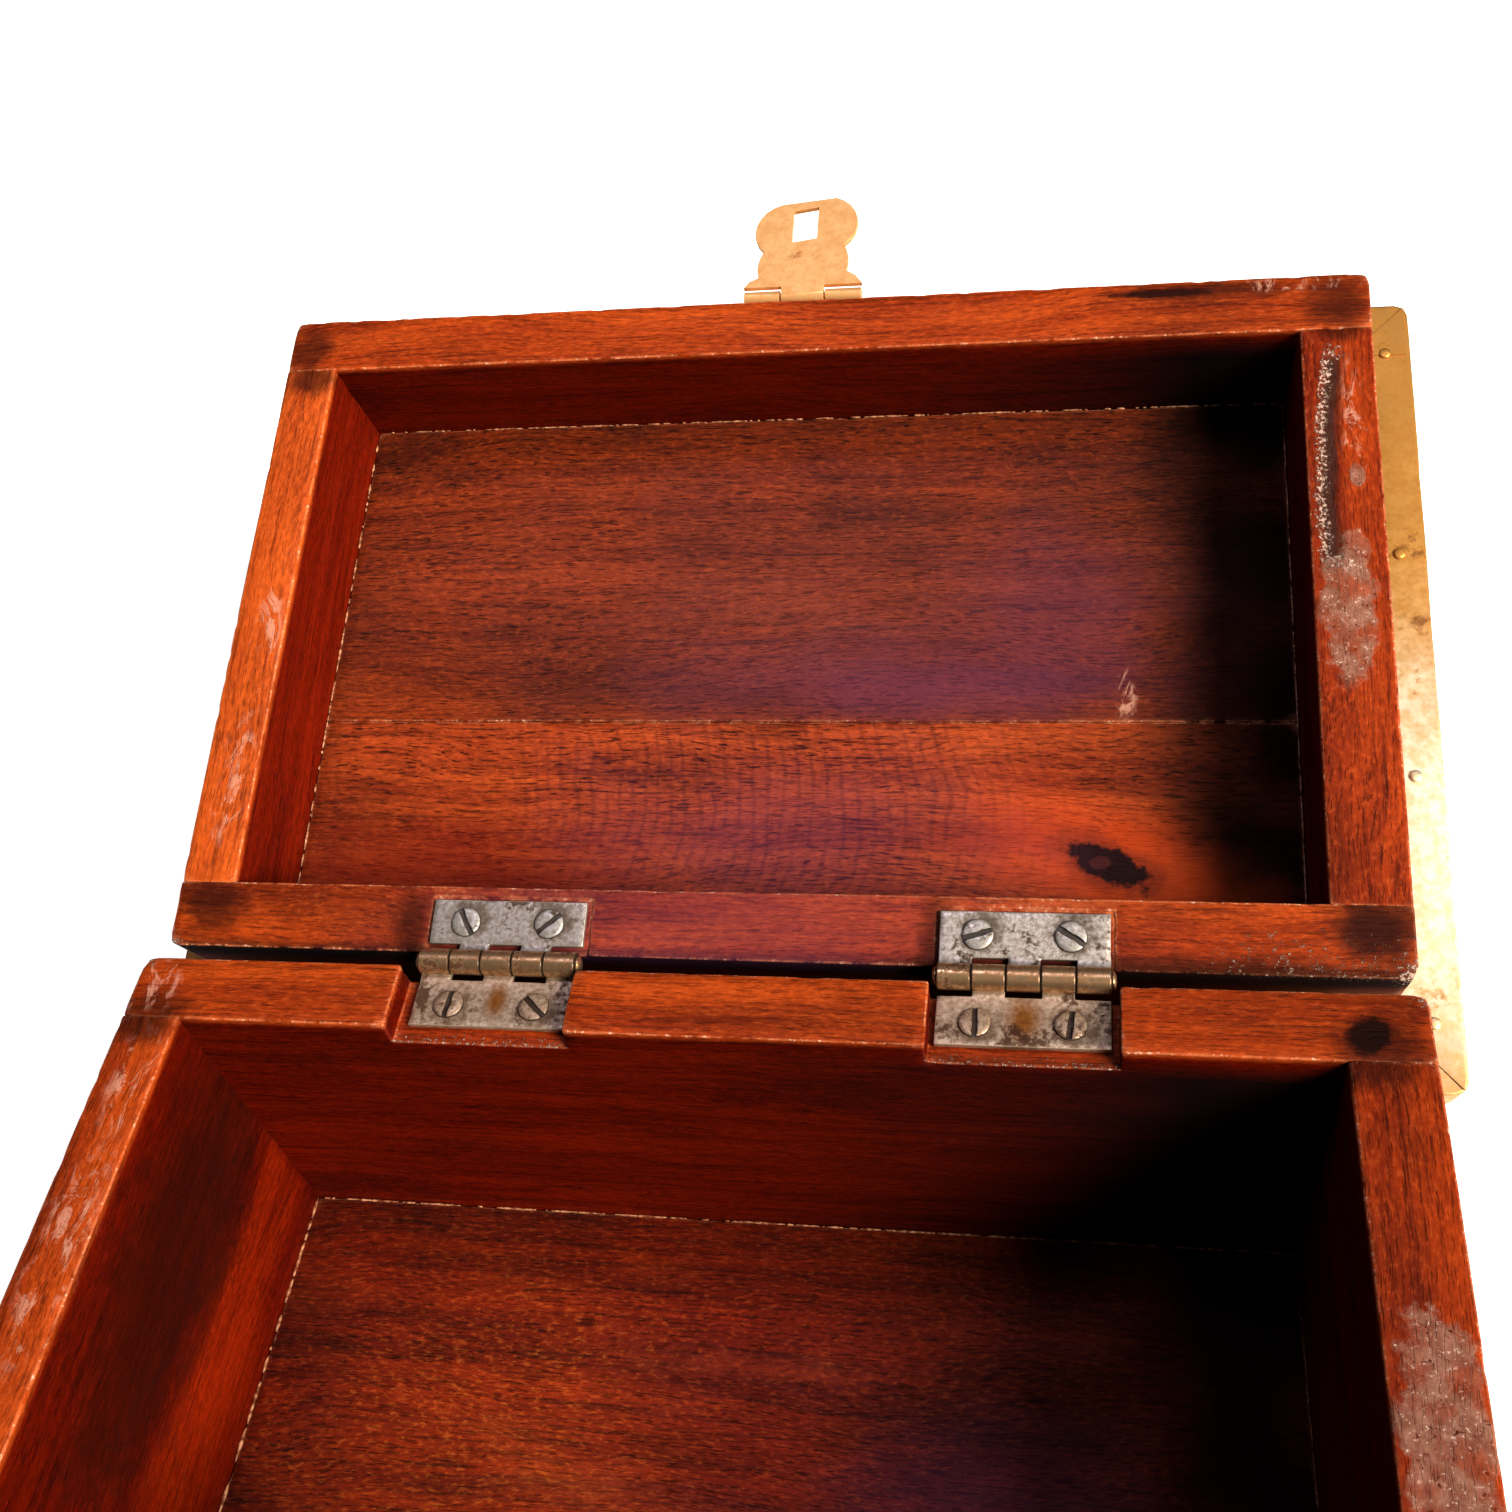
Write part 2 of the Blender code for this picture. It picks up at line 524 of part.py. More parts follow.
def knuckled(name, bm, barrels, bore_half, extra_cut, look, pivot):
    """A plate united with its knuckles on the hasp's axis, bored for the pin."""
    made = add(name, bm, look, pivot)
    rolls, bores = bmesh.new(), extra_cut
    for x0, x1 in barrels:
        put_cylinder(rolls, (x0, HASP_Y, HASP_Z), (1, 0, 0), HASP_KNUCKLE_R, x1 - x0, 14)
    put_cylinder(bores, (-bore_half, HASP_Y, HASP_Z), (1, 0, 0), HASP_BORE_R, 2 * bore_half, 12)
    boolean(made, add(f"join_{name}_knuckles", rolls, pivot=pivot), "UNION")
    boolean(made, add(f"cut_{name}_holes", bores, pivot=pivot), "DIFFERENCE")


def hasp(brass, lid, swing):
    """The leaf stands straight out from the lid's rim; the plate is fixed to the lid's front."""
    low = HASP_Z - HASP_OFFSET
    bm = bmesh.new()
    put_prism(bm, [(x, HASP_Y - s, 0) for x, s in hasp_outline()], (0, 0, 1), low, low + HASP_THICK)
    slot = bmesh.new()
    rise = 0.35 * MM  # the slot's ends slope a little
    (s0, s1), x0, x1 = SLOT_S, SLOT_X - SLOT_HALF, SLOT_X + SLOT_HALF
    corners = [(x0, s0 - rise), (x1, s0 + rise), (x1, s1 + rise), (x0, s1 - rise)]
    put_prism(slot, [(x, HASP_Y - s, 0) for x, s in corners], (0, 0, 1), low - MM, low + HASP_THICK + MM)
    knuckled("hasp_leaf", bm, [(-TONGUE, TONGUE)], TONGUE + MM, slot, brass, swing)

    outer = FRONT - GAP
    bm = bmesh.new()
    outline = [(x, 0, HASP_Z + z) for x, z in plate_outline()]
    put_prism(bm, outline, (0, 1, 0), outer - HASP_THICK, outer)
    holes = bmesh.new()
    for x, z in hasp_nail_places():
        put_cylinder(holes, (x, outer - 2 * MM, z), (0, 1, 0), NAIL_R + 0.2 * MM, 3 * MM, 8)
    edge = TONGUE + GAP
    barrels = [(-HASP_HALF + 0.2 * MM, -edge), (edge, HASP_HALF - 0.2 * MM)]
    knuckled("hasp_plate", bm, barrels, HASP_HALF + MM, holes, brass, lid)

    bm = bmesh.new()
    reach = HASP_HALF - 0.1 * MM
    put_cylinder(bm, (-reach, HASP_Y, HASP_Z), (1, 0, 0), HASP_PIN_R, 2 * reach, 10)
    add("hasp_pin", bm, brass, lid, smooth=True)


def staple(brass):
    """A wire loop driven through its plate into the base's front board."""
    outer = FRONT - GAP
    turns = [math.radians(90 + 180 * i / 8) for i in range(9)]
    loop = [(FRONT + STAPLE_IN, STAPLE_Z + STAPLE_HALF)]
    loop += [(FRONT - STAPLE_OUT + STAPLE_HALF * math.cos(a), STAPLE_Z + STAPLE_HALF * math.sin(a)) for a in turns]
    loop.append((FRONT + STAPLE_IN, STAPLE_Z - STAPLE_HALF))
    curve = bpy.data.curves.new("staple_loop", "CURVE")
    curve.dimensions = "3D"
    curve.bevel_depth, curve.bevel_resolution, curve.use_fill_caps = STAPLE_R, 1, True
    spline = curve.splines.new("POLY")
    spline.points.add(len(loop) - 1)
    for point, (y, z) in zip(spline.points, loop):
        point.co = (SLOT_X, y, z, 1)
    made = bpy.data.objects.new("staple_loop", curve)
    bpy.context.scene.collection.objects.link(made)
    curve.materials.append(brass)

    half_x, half_z = 7.5 * MM, 6.2 * MM
    right = [(half_x * 0.55, -half_z)]
    right += arc(right[0], (half_x * 0.8, 0), 1.4 * MM, 4)
    right += arc(right[-1], (half_x * 0.55, half_z), 1.4 * MM, 4)
    outline = right + [(-x, z) for x, z in right[::-1]]
    bm = bmesh.new()
    points = [(SLOT_X + x, 0, STAPLE_Z + z) for x, z in outline]
    put_prism(bm, points, (0, 1, 0), outer - SHEET, outer)
    plate = add("staple_plate", bm, brass)
    holes = bmesh.new()
    for sign in (-1, 1):
        z = STAPLE_Z + sign * STAPLE_HALF
        put_cylinder(holes, (SLOT_X, outer - 2 * MM, z), (0, 1, 0), STAPLE_R + 0.2 * MM, 4 * MM, 10)
    boolean(plate, add("cut_staple_plate", holes), "DIFFERENCE")


def main():
    clear_scene()
    wood = material("stained_hardwood", (0.42, 0.10, 0.03), 0.5, 0.0)
    dark_wood = material("stained_panel_wood", (0.22, 0.05, 0.03), 0.45, 0.0)
    brass = material("brass_sheet", (0.80, 0.58, 0.28), 0.35, 1.0)
    steel = material("hinge_metal", (0.52, 0.47, 0.40), 0.45, 1.0)
    lid = pivot_at("lid_pivot", (0, AXIS_Y, AXIS_Z), -OPEN_ANGLE)
    swing = pivot_at("hasp_pivot", (0, HASP_Y, HASP_Z), 0, lid)
    base_boards(wood)
    floor_and_bottom(dark_wood)
    bottom_screws(steel)
    staple(brass)
    hinges(steel, lid)
    hinge_screws(steel, lid)
    lid_boards(wood, lid)
    lid_top(wood, brass, lid)
    nails(brass, lid)
    hasp(brass, lid, swing)
    bpy.context.view_layer.update()


main()
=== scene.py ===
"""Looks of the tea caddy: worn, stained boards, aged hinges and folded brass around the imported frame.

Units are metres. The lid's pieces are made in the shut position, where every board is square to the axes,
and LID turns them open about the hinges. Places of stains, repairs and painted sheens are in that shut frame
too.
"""

import json
import math
import random

import bmesh
import bpy
import numpy as np
from mathutils import Matrix, Vector, noise


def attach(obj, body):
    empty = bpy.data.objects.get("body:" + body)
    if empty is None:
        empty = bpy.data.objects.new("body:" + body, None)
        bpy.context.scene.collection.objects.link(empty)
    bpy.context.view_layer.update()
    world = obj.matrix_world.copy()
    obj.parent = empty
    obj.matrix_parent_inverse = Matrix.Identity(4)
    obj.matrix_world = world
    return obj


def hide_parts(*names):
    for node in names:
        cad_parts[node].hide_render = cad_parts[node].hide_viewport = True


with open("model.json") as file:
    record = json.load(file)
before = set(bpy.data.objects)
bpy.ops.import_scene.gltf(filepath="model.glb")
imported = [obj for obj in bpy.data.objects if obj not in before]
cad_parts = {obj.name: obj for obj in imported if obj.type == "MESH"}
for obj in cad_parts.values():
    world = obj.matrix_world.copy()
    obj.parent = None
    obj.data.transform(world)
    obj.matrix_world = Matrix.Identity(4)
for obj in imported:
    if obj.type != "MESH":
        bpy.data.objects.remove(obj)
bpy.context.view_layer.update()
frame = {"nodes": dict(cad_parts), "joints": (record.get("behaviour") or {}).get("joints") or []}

MM = 0.001
OPEN_ANGLE = 161.57  # how far the lid stands open at rest, in degrees

# The camera of the reference view
CAMERA_AT = (48.57 * MM, -68.11 * MM, 281.48 * MM)
CAMERA_RIGHT = Vector((0.98298, 0.12169, -0.13765))
CAMERA_FORWARD = Vector((-0.18364, 0.62729, -0.75682))
LENS, SENSOR = 38.96, 36.0
SHIFT = (-0.0069, 0.0062)

# Mesh detail and wear of the boards
EDGE = 0.4 * MM  # distance of the closest grid lines from an edge, which sets how round it wears
STEP = 1.6 * MM  # grid of the flat faces
WARP = 0.07 * MM
CHIP = 0.35 * MM
CORNER = 1.8 * MM  # radius of the outer upright edges
LID_ABOVE = 70 * MM  # a board that starts above this height, with the lid shut, is one of the lid's


def rgb(red, green, blue):
    """An sRGB colour, 0 to 255, as the linear colour a shader takes."""
    parts = [c / 255 for c in (red, green, blue)]
    return [c / 12.92 if c < 0.04045 else ((c + 0.055) / 1.055) ** 2.4 for c in parts] + [1.0]


def joint(name):
    return next(j for j in frame["joints"] if j["name"] == name)


def turned_about(point, degrees):
    at = Vector(point)
    turn = Matrix.Rotation(math.radians(degrees), 4, "X")
    return Matrix.Translation(at) @ turn @ Matrix.Translation(-at)


LID = turned_about(joint("lid_hinge")["pos_m"], -OPEN_ANGLE)
STILL = Matrix.Identity(4)
PLACES = {"base": STILL, "lid": LID}


def shut_box(node, place=STILL):
    """(low, high) of a CAD node in the frame that place turns to the world."""
    back = place.inverted()
    points = np.array([back @ v.co for v in frame["nodes"][node].data.vertices])
    return points.min(0), points.max(0)


def linked(name, data):
    """A new object in the scene."""
    made = bpy.data.objects.new(name, data)
    bpy.context.scene.collection.objects.link(made)
    return made


# Shaders ------------------------------------------------------------------------------------------


class Shade:
    """A material's node tree built from short calls, whose values are sockets or plain numbers."""

    def __init__(self, name):
        self.material = bpy.data.materials.new(name)
        self.material.use_nodes = True
        self.tree = self.material.node_tree
        self.shader = self.tree.nodes["Principled BSDF"]
        self.at = self.node("TexCoord", "Object", {})

    def put(self, socket, value):
        if isinstance(value, bpy.types.NodeSocket):
            self.tree.links.new(value, socket)
        else:
            socket.default_value = value

    def node(self, kind, output, inputs, **settings):
        """The output of a new node. inputs and output go by name or number."""
        made = self.tree.nodes.new("ShaderNode" + kind)
        for key, value in settings.items():
            setattr(made, key, value)
        for name, value in inputs.items():
            self.put(made.inputs[name], value)
        return made.outputs[output]

    def scaled(self, vector, scale, shift=(0, 0, 0)):
        return self.node("Mapping", "Vector", {"Vector": vector, "Scale": scale, "Location": shift})

    def noise(self, vector, scale=1.0, detail=3.0, rough=0.55, distortion=0.0):
        inputs = {"Vector": vector, "Scale": scale, "Detail": detail, "Roughness": rough}
        return self.node("TexNoise", "Fac", {**inputs, "Distortion": distortion})

    def ramp(self, value, low, high, to_low=0.0, to_high=1.0):
        inputs = {"Value": value, "From Min": low, "From Max": high, "To Min": to_low, "To Max": to_high}
        return self.node("MapRange", "Result", inputs, interpolation_type="SMOOTHSTEP")

    def math(self, operation, *values):
        return self.node("Math", 0, dict(enumerate(values)), operation=operation)

    def mix(self, fac, a, b, blend="MIX"):
        inputs = {"Factor": fac, "A": a, "B": b}
        return self.node("Mix", "Result", inputs, data_type="RGBA", blend_type=blend)

    def both(self, a, b):
        return self.math("MULTIPLY", a, b)

    def plus(self, base, a, b):
        """base + a * b"""
        return self.math("MULTIPLY_ADD", a, b, base)

    def apart(self, a, b):
        return self.math("ABSOLUTE", self.math("SUBTRACT", a, b))

    def most(self, a, b):
        return self.math("MAXIMUM", a, b)

    def over(self, color, tint, mask, strength=1.0):
        """color, with tint laid over it where mask is 1."""
        return self.mix(self.both(mask, strength), color, tint)

    def tinted(self, color, tint):
        return self.mix(1.0, color, tint, "MULTIPLY")

    def along_axis(self, axis):
        """One coordinate of the piece's own space, in metres."""
        return self.node("SeparateXYZ", axis, {0: self.at})

    def attribute(self, name):
        return self.node("Attribute", "Fac", {}, attribute_name=name)

    def spot(self, centre, size, ragged=0.35, grain=260.0, soft=0.16, turn=0.0):
        """1 inside a ragged oval of half-sizes size about centre, turned by turn degrees, and 0 outside."""
        around = self.node("Mapping", "Vector", {
            "Vector": self.at, "Location": [c * MM for c in centre],
            "Rotation": (0, 0, math.radians(turn)), "Scale": [s * MM for s in size],
        }, vector_type="TEXTURE")
        length = self.node("VectorMath", "Value", {0: around}, operation="LENGTH")
        shaped = self.plus(length, self.noise(self.at, grain, 5, 0.65), 2 * ragged)
        return self.ramp(shaped, 1 + ragged + soft, 1 + ragged - soft)

    def bump(self, height, distance, strength=1.0):
        """Adds a bump to those already there."""
        normal = self.shader.inputs["Normal"]
        before = {"Normal": normal.links[0].from_socket} if normal.is_linked else {}
        inputs = {"Distance": distance, "Strength": strength, "Height": height, **before}
        self.put(normal, self.node("Bump", "Normal", inputs))

    def done(self, color, roughness, metallic=0.0):
        for name, value in (("Base Color", color), ("Roughness", roughness), ("Metallic", metallic)):
            self.put(self.shader.inputs[name], value)
        return self.material


def along(grain, length, width):
    """Scale of a pattern length metres long along the grain and width metres wide across it."""
    scale = [1 / width] * 3
    scale["XYZ".index(grain)] = 1 / length
    return scale


# What lies on the wood or shows through it, and the colours of painted shade and painted light
PORE, PAINTED_SHADE_DARK, GRIT = rgb(34, 10, 6), rgb(20, 5, 3), rgb(220, 186, 164)
THIN_STAIN, PALE_FLECK = rgb(226, 112, 40), rgb(226, 120, 56)
RUBBED, WORN_THROUGH = rgb(240, 168, 120), rgb(242, 200, 168)
HOLLOW_DARK, HOLLOW_PALE = rgb(30, 17, 13), rgb(96, 62, 48)
DEEP_TINT = (0.42, 0.14, 0.12, 1.0)  # what the colour is multiplied by away from the rim, inside
OUTSIDE_TINT = (0.4, 0.24, 0.2, 1.0)
# The next tint brightens a painted pool of light
LIGHT_POOL_TINT = (2.2, 3.6, 2.2, 1.0)
RIPPLE = 2.5 * MM  # length of a ripple in the figured wood


def wood(name, grain, seed, tones, marks=(), figure=None, rim=None, gloss=0.45, pored=0.4, shine=0.12):
    """Stained, varnished hardwood. tones are its light, middle and dark colours; marks are (kind, centre,
    half sizes) in millimetres; figure adds ripples across the grain in an oval. Away from the height of
    the sanded rim, in millimetres, the stain is deeper. pored is how open its pores are."""
    light, mid, dark = tones
    s = Shade(name)
    shift = (seed * 0.37, seed * 0.61, seed * 0.83)

    def pattern(vector, length, width, detail, rough=0.55, distortion=0.0):
        return s.noise(s.scaled(vector, along(grain, length, width), shift), 1, detail, rough, distortion)

    bend = {0: pattern(s.at, 0.09, 0.03, 2), 1: [12 * MM] * 3, 2: s.at}
    bent = s.node("VectorMath", 0, bend, operation="MULTIPLY_ADD")
    bands = pattern(bent, 0.12, 0.0055, 4, 0.6, 0.4)
    streaks = pattern(bent, 0.035, 0.0007, 5, 0.7)
    pores = pattern(bent, 0.0032, 0.00033, 2, 0.5)
    flecks = pattern(bent, 0.0016, 0.0006, 4, 0.7)
    clouds = pattern(s.at, 0.05, 0.018, 3, 0.6)
    pore = s.both(s.ramp(pores, 0.56, 0.67), s.ramp(clouds, 0.25, 0.6, 0.5, 1.0))
    color = s.mix(s.ramp(bands, 0.3, 0.7), light, mid)
    color = s.over(color, dark, s.ramp(streaks, 0.46, 0.7), 0.72)
    color = s.over(color, dark, s.ramp(clouds, 0.48, 0.75), 0.6)
    color = s.over(color, s.mix(0.3, light, THIN_STAIN), s.ramp(clouds, 0.46, 0.25), 0.4)
    color = s.over(color, PORE, pore, pored)
    color = s.mix(s.ramp(flecks, 0.35, 0.7, 0.0, 0.35), color, dark)
    color = s.mix(s.ramp(flecks, 0.5, 0.3, 0.0, 0.22), color, PALE_FLECK)
    height = s.math("SUBTRACT", s.both(streaks, 0.5), pore)
    rough = s.ramp(clouds, 0.3, 0.8, gloss - 0.07, gloss + 0.13)
    if figure:
        color = s.over(color, dark, ripples(s, *figure), 0.34)
    # Painted shade: the walls' shadows, the shade along panel borders and in the gap behind the lid, darker
    # and rougher
    color = s.over(color, PAINTED_SHADE_DARK, s.attribute("painted_shade"), 0.96)
    rough = s.plus(rough, s.attribute("painted_shade"), 0.5)
    specks = s.ramp(s.noise(s.at, 1500.0, 3, 0.6), 0.56, 0.66)
    patchy = s.ramp(s.noise(s.at, 320.0, 4, 0.7), 0.36, 0.58)
    worn_edge = s.both(s.ramp(s.attribute("edge"), 0.25, 0.9), patchy)
    color = s.over(color, s.mix(0.5, light, RUBBED), worn_edge, 0.6)
    color = s.over(color, WORN_THROUGH, s.both(worn_edge, specks), 0.8)
    rough = s.plus(rough, worn_edge, 0.2)
    if rim is not None:
        from_rim = s.apart(s.along_axis("Z"), rim * MM)
        in_floor = s.ramp(s.attribute("mortise"), 0.0, 1.0, 1.0, 0.45)
        deep = s.both(s.ramp(from_rim, 0.4 * MM, 1.7 * MM), in_floor)
        tint = s.mix(s.attribute("outside"), DEEP_TINT, OUTSIDE_TINT)
        color = s.mix(deep, color, s.tinted(color, tint))
    for kind, centre, size in marks:
        color, rough, height = marked(s, kind, centre, size, color, rough, height)
    color = s.over(color, s.mix(flecks, HOLLOW_DARK, HOLLOW_PALE), s.attribute("hollow"), 0.93)
    crumbs = s.plus(s.noise(s.at, 1600.0, 5, 0.75), s.attribute("grit"), 0.17)
    grit = s.both(s.ramp(crumbs, 0.62, 0.72), s.ramp(s.attribute("grit"), 0.02, 0.2))
    color = s.over(color, GRIT, grit, 0.85)
    s.bump(height, 0.09 * MM, 0.8)
    s.bump(grit, 0.25 * MM, 0.9)
    s.bump(s.noise(s.at, 1100.0, 3, 0.7), 0.05 * MM, 0.6)
    s.bump(s.noise(s.at, 90.0, 2), 0.25 * MM, 0.35)
    s.shader.inputs["Specular IOR Level"].default_value = shine
    return s.done(color, rough)


def ripples(s, centre, size):
    """Bowed, broken lines across the grain, inside an oval."""
    aside = s.math("SUBTRACT", s.along_axis("Y"), centre[1] * MM)
    bow = s.plus(s.along_axis("X"), s.both(aside, aside), 13.0)
    waver = s.both(s.noise(s.at, 55.0, 2), 6 * MM)
    wave = s.math("SINE", s.both(s.math("ADD", bow, waver), 2 * math.pi / RIPPLE))
    shown = s.both(s.spot(centre, size, 0.5, 40.0, 0.5), s.ramp(wave, 0.2, 1.0))
    return s.both(shown, s.ramp(s.noise(s.at, 240.0, 2), 0.35, 0.6, 0.35, 1.0))


# Raggedness, grain and softness of a plain mark's outline, its strength, and its colour
PLAIN_MARKS = {
    "stain": (0.8, 190.0, 0.6, 0.72, rgb(54, 18, 8)),  # soaked in, as at end grain
    "burn": (0.9, 320.0, 0.3, 0.92, rgb(26, 9, 6)),  # black scorching
    "red": (0.8, 60.0, 0.6, 0.6, rgb(112, 18, 7)),
    "haze": (0.8, 40.0, 0.8, 0.36, rgb(104, 56, 54)),  # a painted sheen: greyish reflection of the light from above
    "violet": (0.8, 40.0, 0.8, 0.42, rgb(98, 48, 78)),  # a painted sheen: bluish reflection of the light from above
}


def marked(s, kind, centre, size, color, rough, height):
    """Colour, roughness and height with one mark added."""
    if kind in MARKS:
        return MARKS[kind](s, centre, size, color, rough, height)
    ragged, grain, soft, strength, tint = PLAIN_MARKS[kind]
    return s.over(color, tint, s.spot(centre, size, ragged, grain, soft), strength), rough, height


def knot_mark(s, centre, size, color, rough, height):
    """A dark, cracked knot with a paler side in a glow of orange."""
    glow = s.spot(centre, [3.0 * v for v in size], 0.8, 70.0, 0.7, 20.0)
    ring = s.spot(centre, [1.35 * v for v in size], 0.7, 200.0, 0.4, 26.0)
    heart = s.spot((centre[0] - 2, centre[1] - 0.6, centre[2]), (1.6, 1.1, 5), 0.7, 300.0)
    color = s.over(color, rgb(214, 84, 26), glow, 0.55)
    color = s.over(color, rgb(92, 34, 22), ring, 0.6)
    color = s.over(color, rgb(22, 7, 8), s.spot(centre, size, 0.9, 260.0, 0.15, 26.0), 0.95)
    return s.over(color, rgb(88, 40, 32), heart, 0.6), rough, height


def light_pool_mark(s, centre, size, color, rough, height):
    """Painted light: a stretch of wood brightened to orange, a pool of light reflected onto it."""
    mask = s.spot(centre, size, 0.8, 60.0, 0.8)
    return s.over(color, s.tinted(color, LIGHT_POOL_TINT), mask, 0.55), rough, height


def glue_mark(s, centre, size, color, rough, height):
    """Dried, cloudy glue smeared on the varnish."""
    smears = s.noise(s.scaled(s.at, (260, 110, 260), centre), 1, 6, 0.75, 1.2)
    mask = s.both(s.spot(centre, size, 0.9, 220.0, 0.5), s.ramp(smears, 0.51, 0.6))
    color = s.over(color, rgb(218, 164, 138), mask, 0.68)
    return color, s.plus(rough, mask, 0.15), s.plus(height, mask, 0.6)


def bare_mark(s, centre, size, color, rough, height):
    """Torn-out wood with remains of glue: beige grey, rough and crumbly."""
    mask = s.spot(centre, size, 0.7, 210.0, 0.12)
    grit = s.noise(s.scaled(s.at, (420, 340, 420), centre), 1, 7, 0.78)
    torn = s.mix(s.ramp(grit, 0.3, 0.66), rgb(126, 78, 58), rgb(172, 128, 106))
    torn = s.mix(s.ramp(s.noise(s.at, 1300.0, 4, 0.75), 0.57, 0.68), torn, rgb(232, 204, 184))
    torn = s.mix(s.ramp(s.noise(s.at, 900.0, 3, 0.7), 0.4, 0.3), torn, rgb(78, 38, 24))
    thin = s.ramp(s.noise(s.scaled(s.at, (1, 1, 1), centre), 210.0, 3), 0.42, 0.6, 1.0, 0.45)
    color = s.mix(s.both(s.both(mask, 0.92), thin), color, torn)
    return color, s.plus(rough, mask, 0.3), s.plus(height, s.both(mask, grit), 1.3)


MARKS = {"knot": knot_mark, "amber": light_pool_mark, "glue": glue_mark, "bare": bare_mark}

# What lies on the metal, and the colours of painted shade and painted highlight
METAL_SHADE = rgb(44, 28, 20)
TARNISH_TINT = (0.58, 0.3, 0.07, 1.0)
# Colours of the painted highlight
CREAM, DULL_CREAM, STAINED_CREAM = rgb(255, 246, 224), rgb(246, 222, 178), rgb(206, 160, 100)


def metal(name, clean, dull, stain, stained=0.5, rough=0.36, dents=0.0, seed=0.0, rings=(), size=230.0,
          shine=1.0, tarnish=(), glare=(), top=None):
    """Old metal: clean where it is rubbed, dull elsewhere, with brown-black stains in blotches and in
    rings: (centre, half sizes) in millimetres. Areas of tarnish, and of cream metal that is a painted
    highlight, are given in the same way. Painted shade fills what lies below the height top, and the ends
    marked on a knuckle."""
    s = Shade(name)
    at = s.scaled(s.at, (1, 1, 1), (seed, seed * 0.7, seed * 0.3))
    cloud = s.noise(at, size, 5, 0.65, 0.3)
    fine = s.noise(at, 5.5 * size, 4, 0.7)
    blotch = s.ramp(s.plus(cloud, fine, 0.35), 0.86 - 0.3 * stained, 0.98 - 0.3 * stained)
    for centre, half_sizes in rings:
        blotch = s.most(blotch, s.both(s.spot(centre, half_sizes, 1.0, 420.0, 0.3), 0.85))
    patchy = s.ramp(fine, 0.35, 0.65)
    color = s.over(s.mix(patchy, clean, dull), stain, blotch, 0.9)
    color = s.over(color, clean, s.ramp(s.attribute("edge"), 0.2, 0.8), 0.4)
    roughness = s.plus(s.ramp(fine, 0.3, 0.7, rough - 0.08, rough + 0.1), blotch, 0.28)
    for centre, half_sizes in tarnish:
        color = s.mix(s.spot(centre, half_sizes, 0.7, 90.0, 0.7), color, s.tinted(color, TARNISH_TINT))
    # Painted highlight: cream patches standing in for light glaring off the metal
    for centre, half_sizes in glare:
        cream = s.mix(blotch, s.mix(patchy, CREAM, DULL_CREAM), STAINED_CREAM)
        color = s.over(color, cream, s.spot(centre, half_sizes, 0.7, 90.0, 0.7), 0.92)
    # Painted shade: knuckle ends darkened as the gaps between knuckles, and what lies below top as the shade
    # in screw slots
    in_shade = s.attribute("ends")
    if top is not None:
        in_shade = s.ramp(s.apart(s.along_axis("Z"), top), 0.16 * MM, 0.28 * MM)
    color = s.over(color, METAL_SHADE, in_shade, 0.9)
    blotch = s.most(blotch, in_shade)
    s.bump(s.plus(s.both(fine, 0.4), blotch, -0.4), 0.04 * MM, 0.7)
    if dents:
        s.bump(s.noise(at, 160.0, 2, 0.5), dents * MM, 0.8)
    return s.done(color, roughness, s.ramp(blotch, 0.0, 1.0, shine, 0.45 * shine))


def glue(name):
    s = Shade(name)
    grain = s.noise(s.at, 900.0, 3)
    color = s.mix(s.ramp(grain, 0.35, 0.65), rgb(120, 62, 34), rgb(214, 158, 116))
    s.bump(grain, 0.05 * MM, 0.6)
    return s.done(color, s.ramp(grain, 0.3, 0.7, 0.3, 0.55))


def paper_white(name):
    s = Shade(name)
    grain = s.noise(s.at, 40.0, 4)
    color = s.mix(grain, rgb(250, 249, 247), rgb(255, 255, 254))
    s.bump(s.noise(s.at, 400.0, 3), 0.05 * MM, 0.2)
    s.shader.inputs["Emission Color"].default_value = (1.0, 1.0, 1.0, 1.0)
    s.shader.inputs["Emission Strength"].default_value = 0.75
    return s.done(color, s.ramp(grain, 0.3, 0.7, 0.75, 0.9))


# Meshes -------------------------------------------------------------------------------------------


def ticks(stops, step, near):
    """Places along an axis: every stop, one close to it on each side, and even steps between."""
    places = []
    for a, b in zip(stops, stops[1:]):
        if b - a <= 3 * near:
            places += [a, (a + b) / 2]
            continue
        count = max(1, round((b - a - 2 * near) / step))
        places += [a, *np.linspace(a + near, b - near, count + 1)]
    return np.array([*places, stops[-1]])


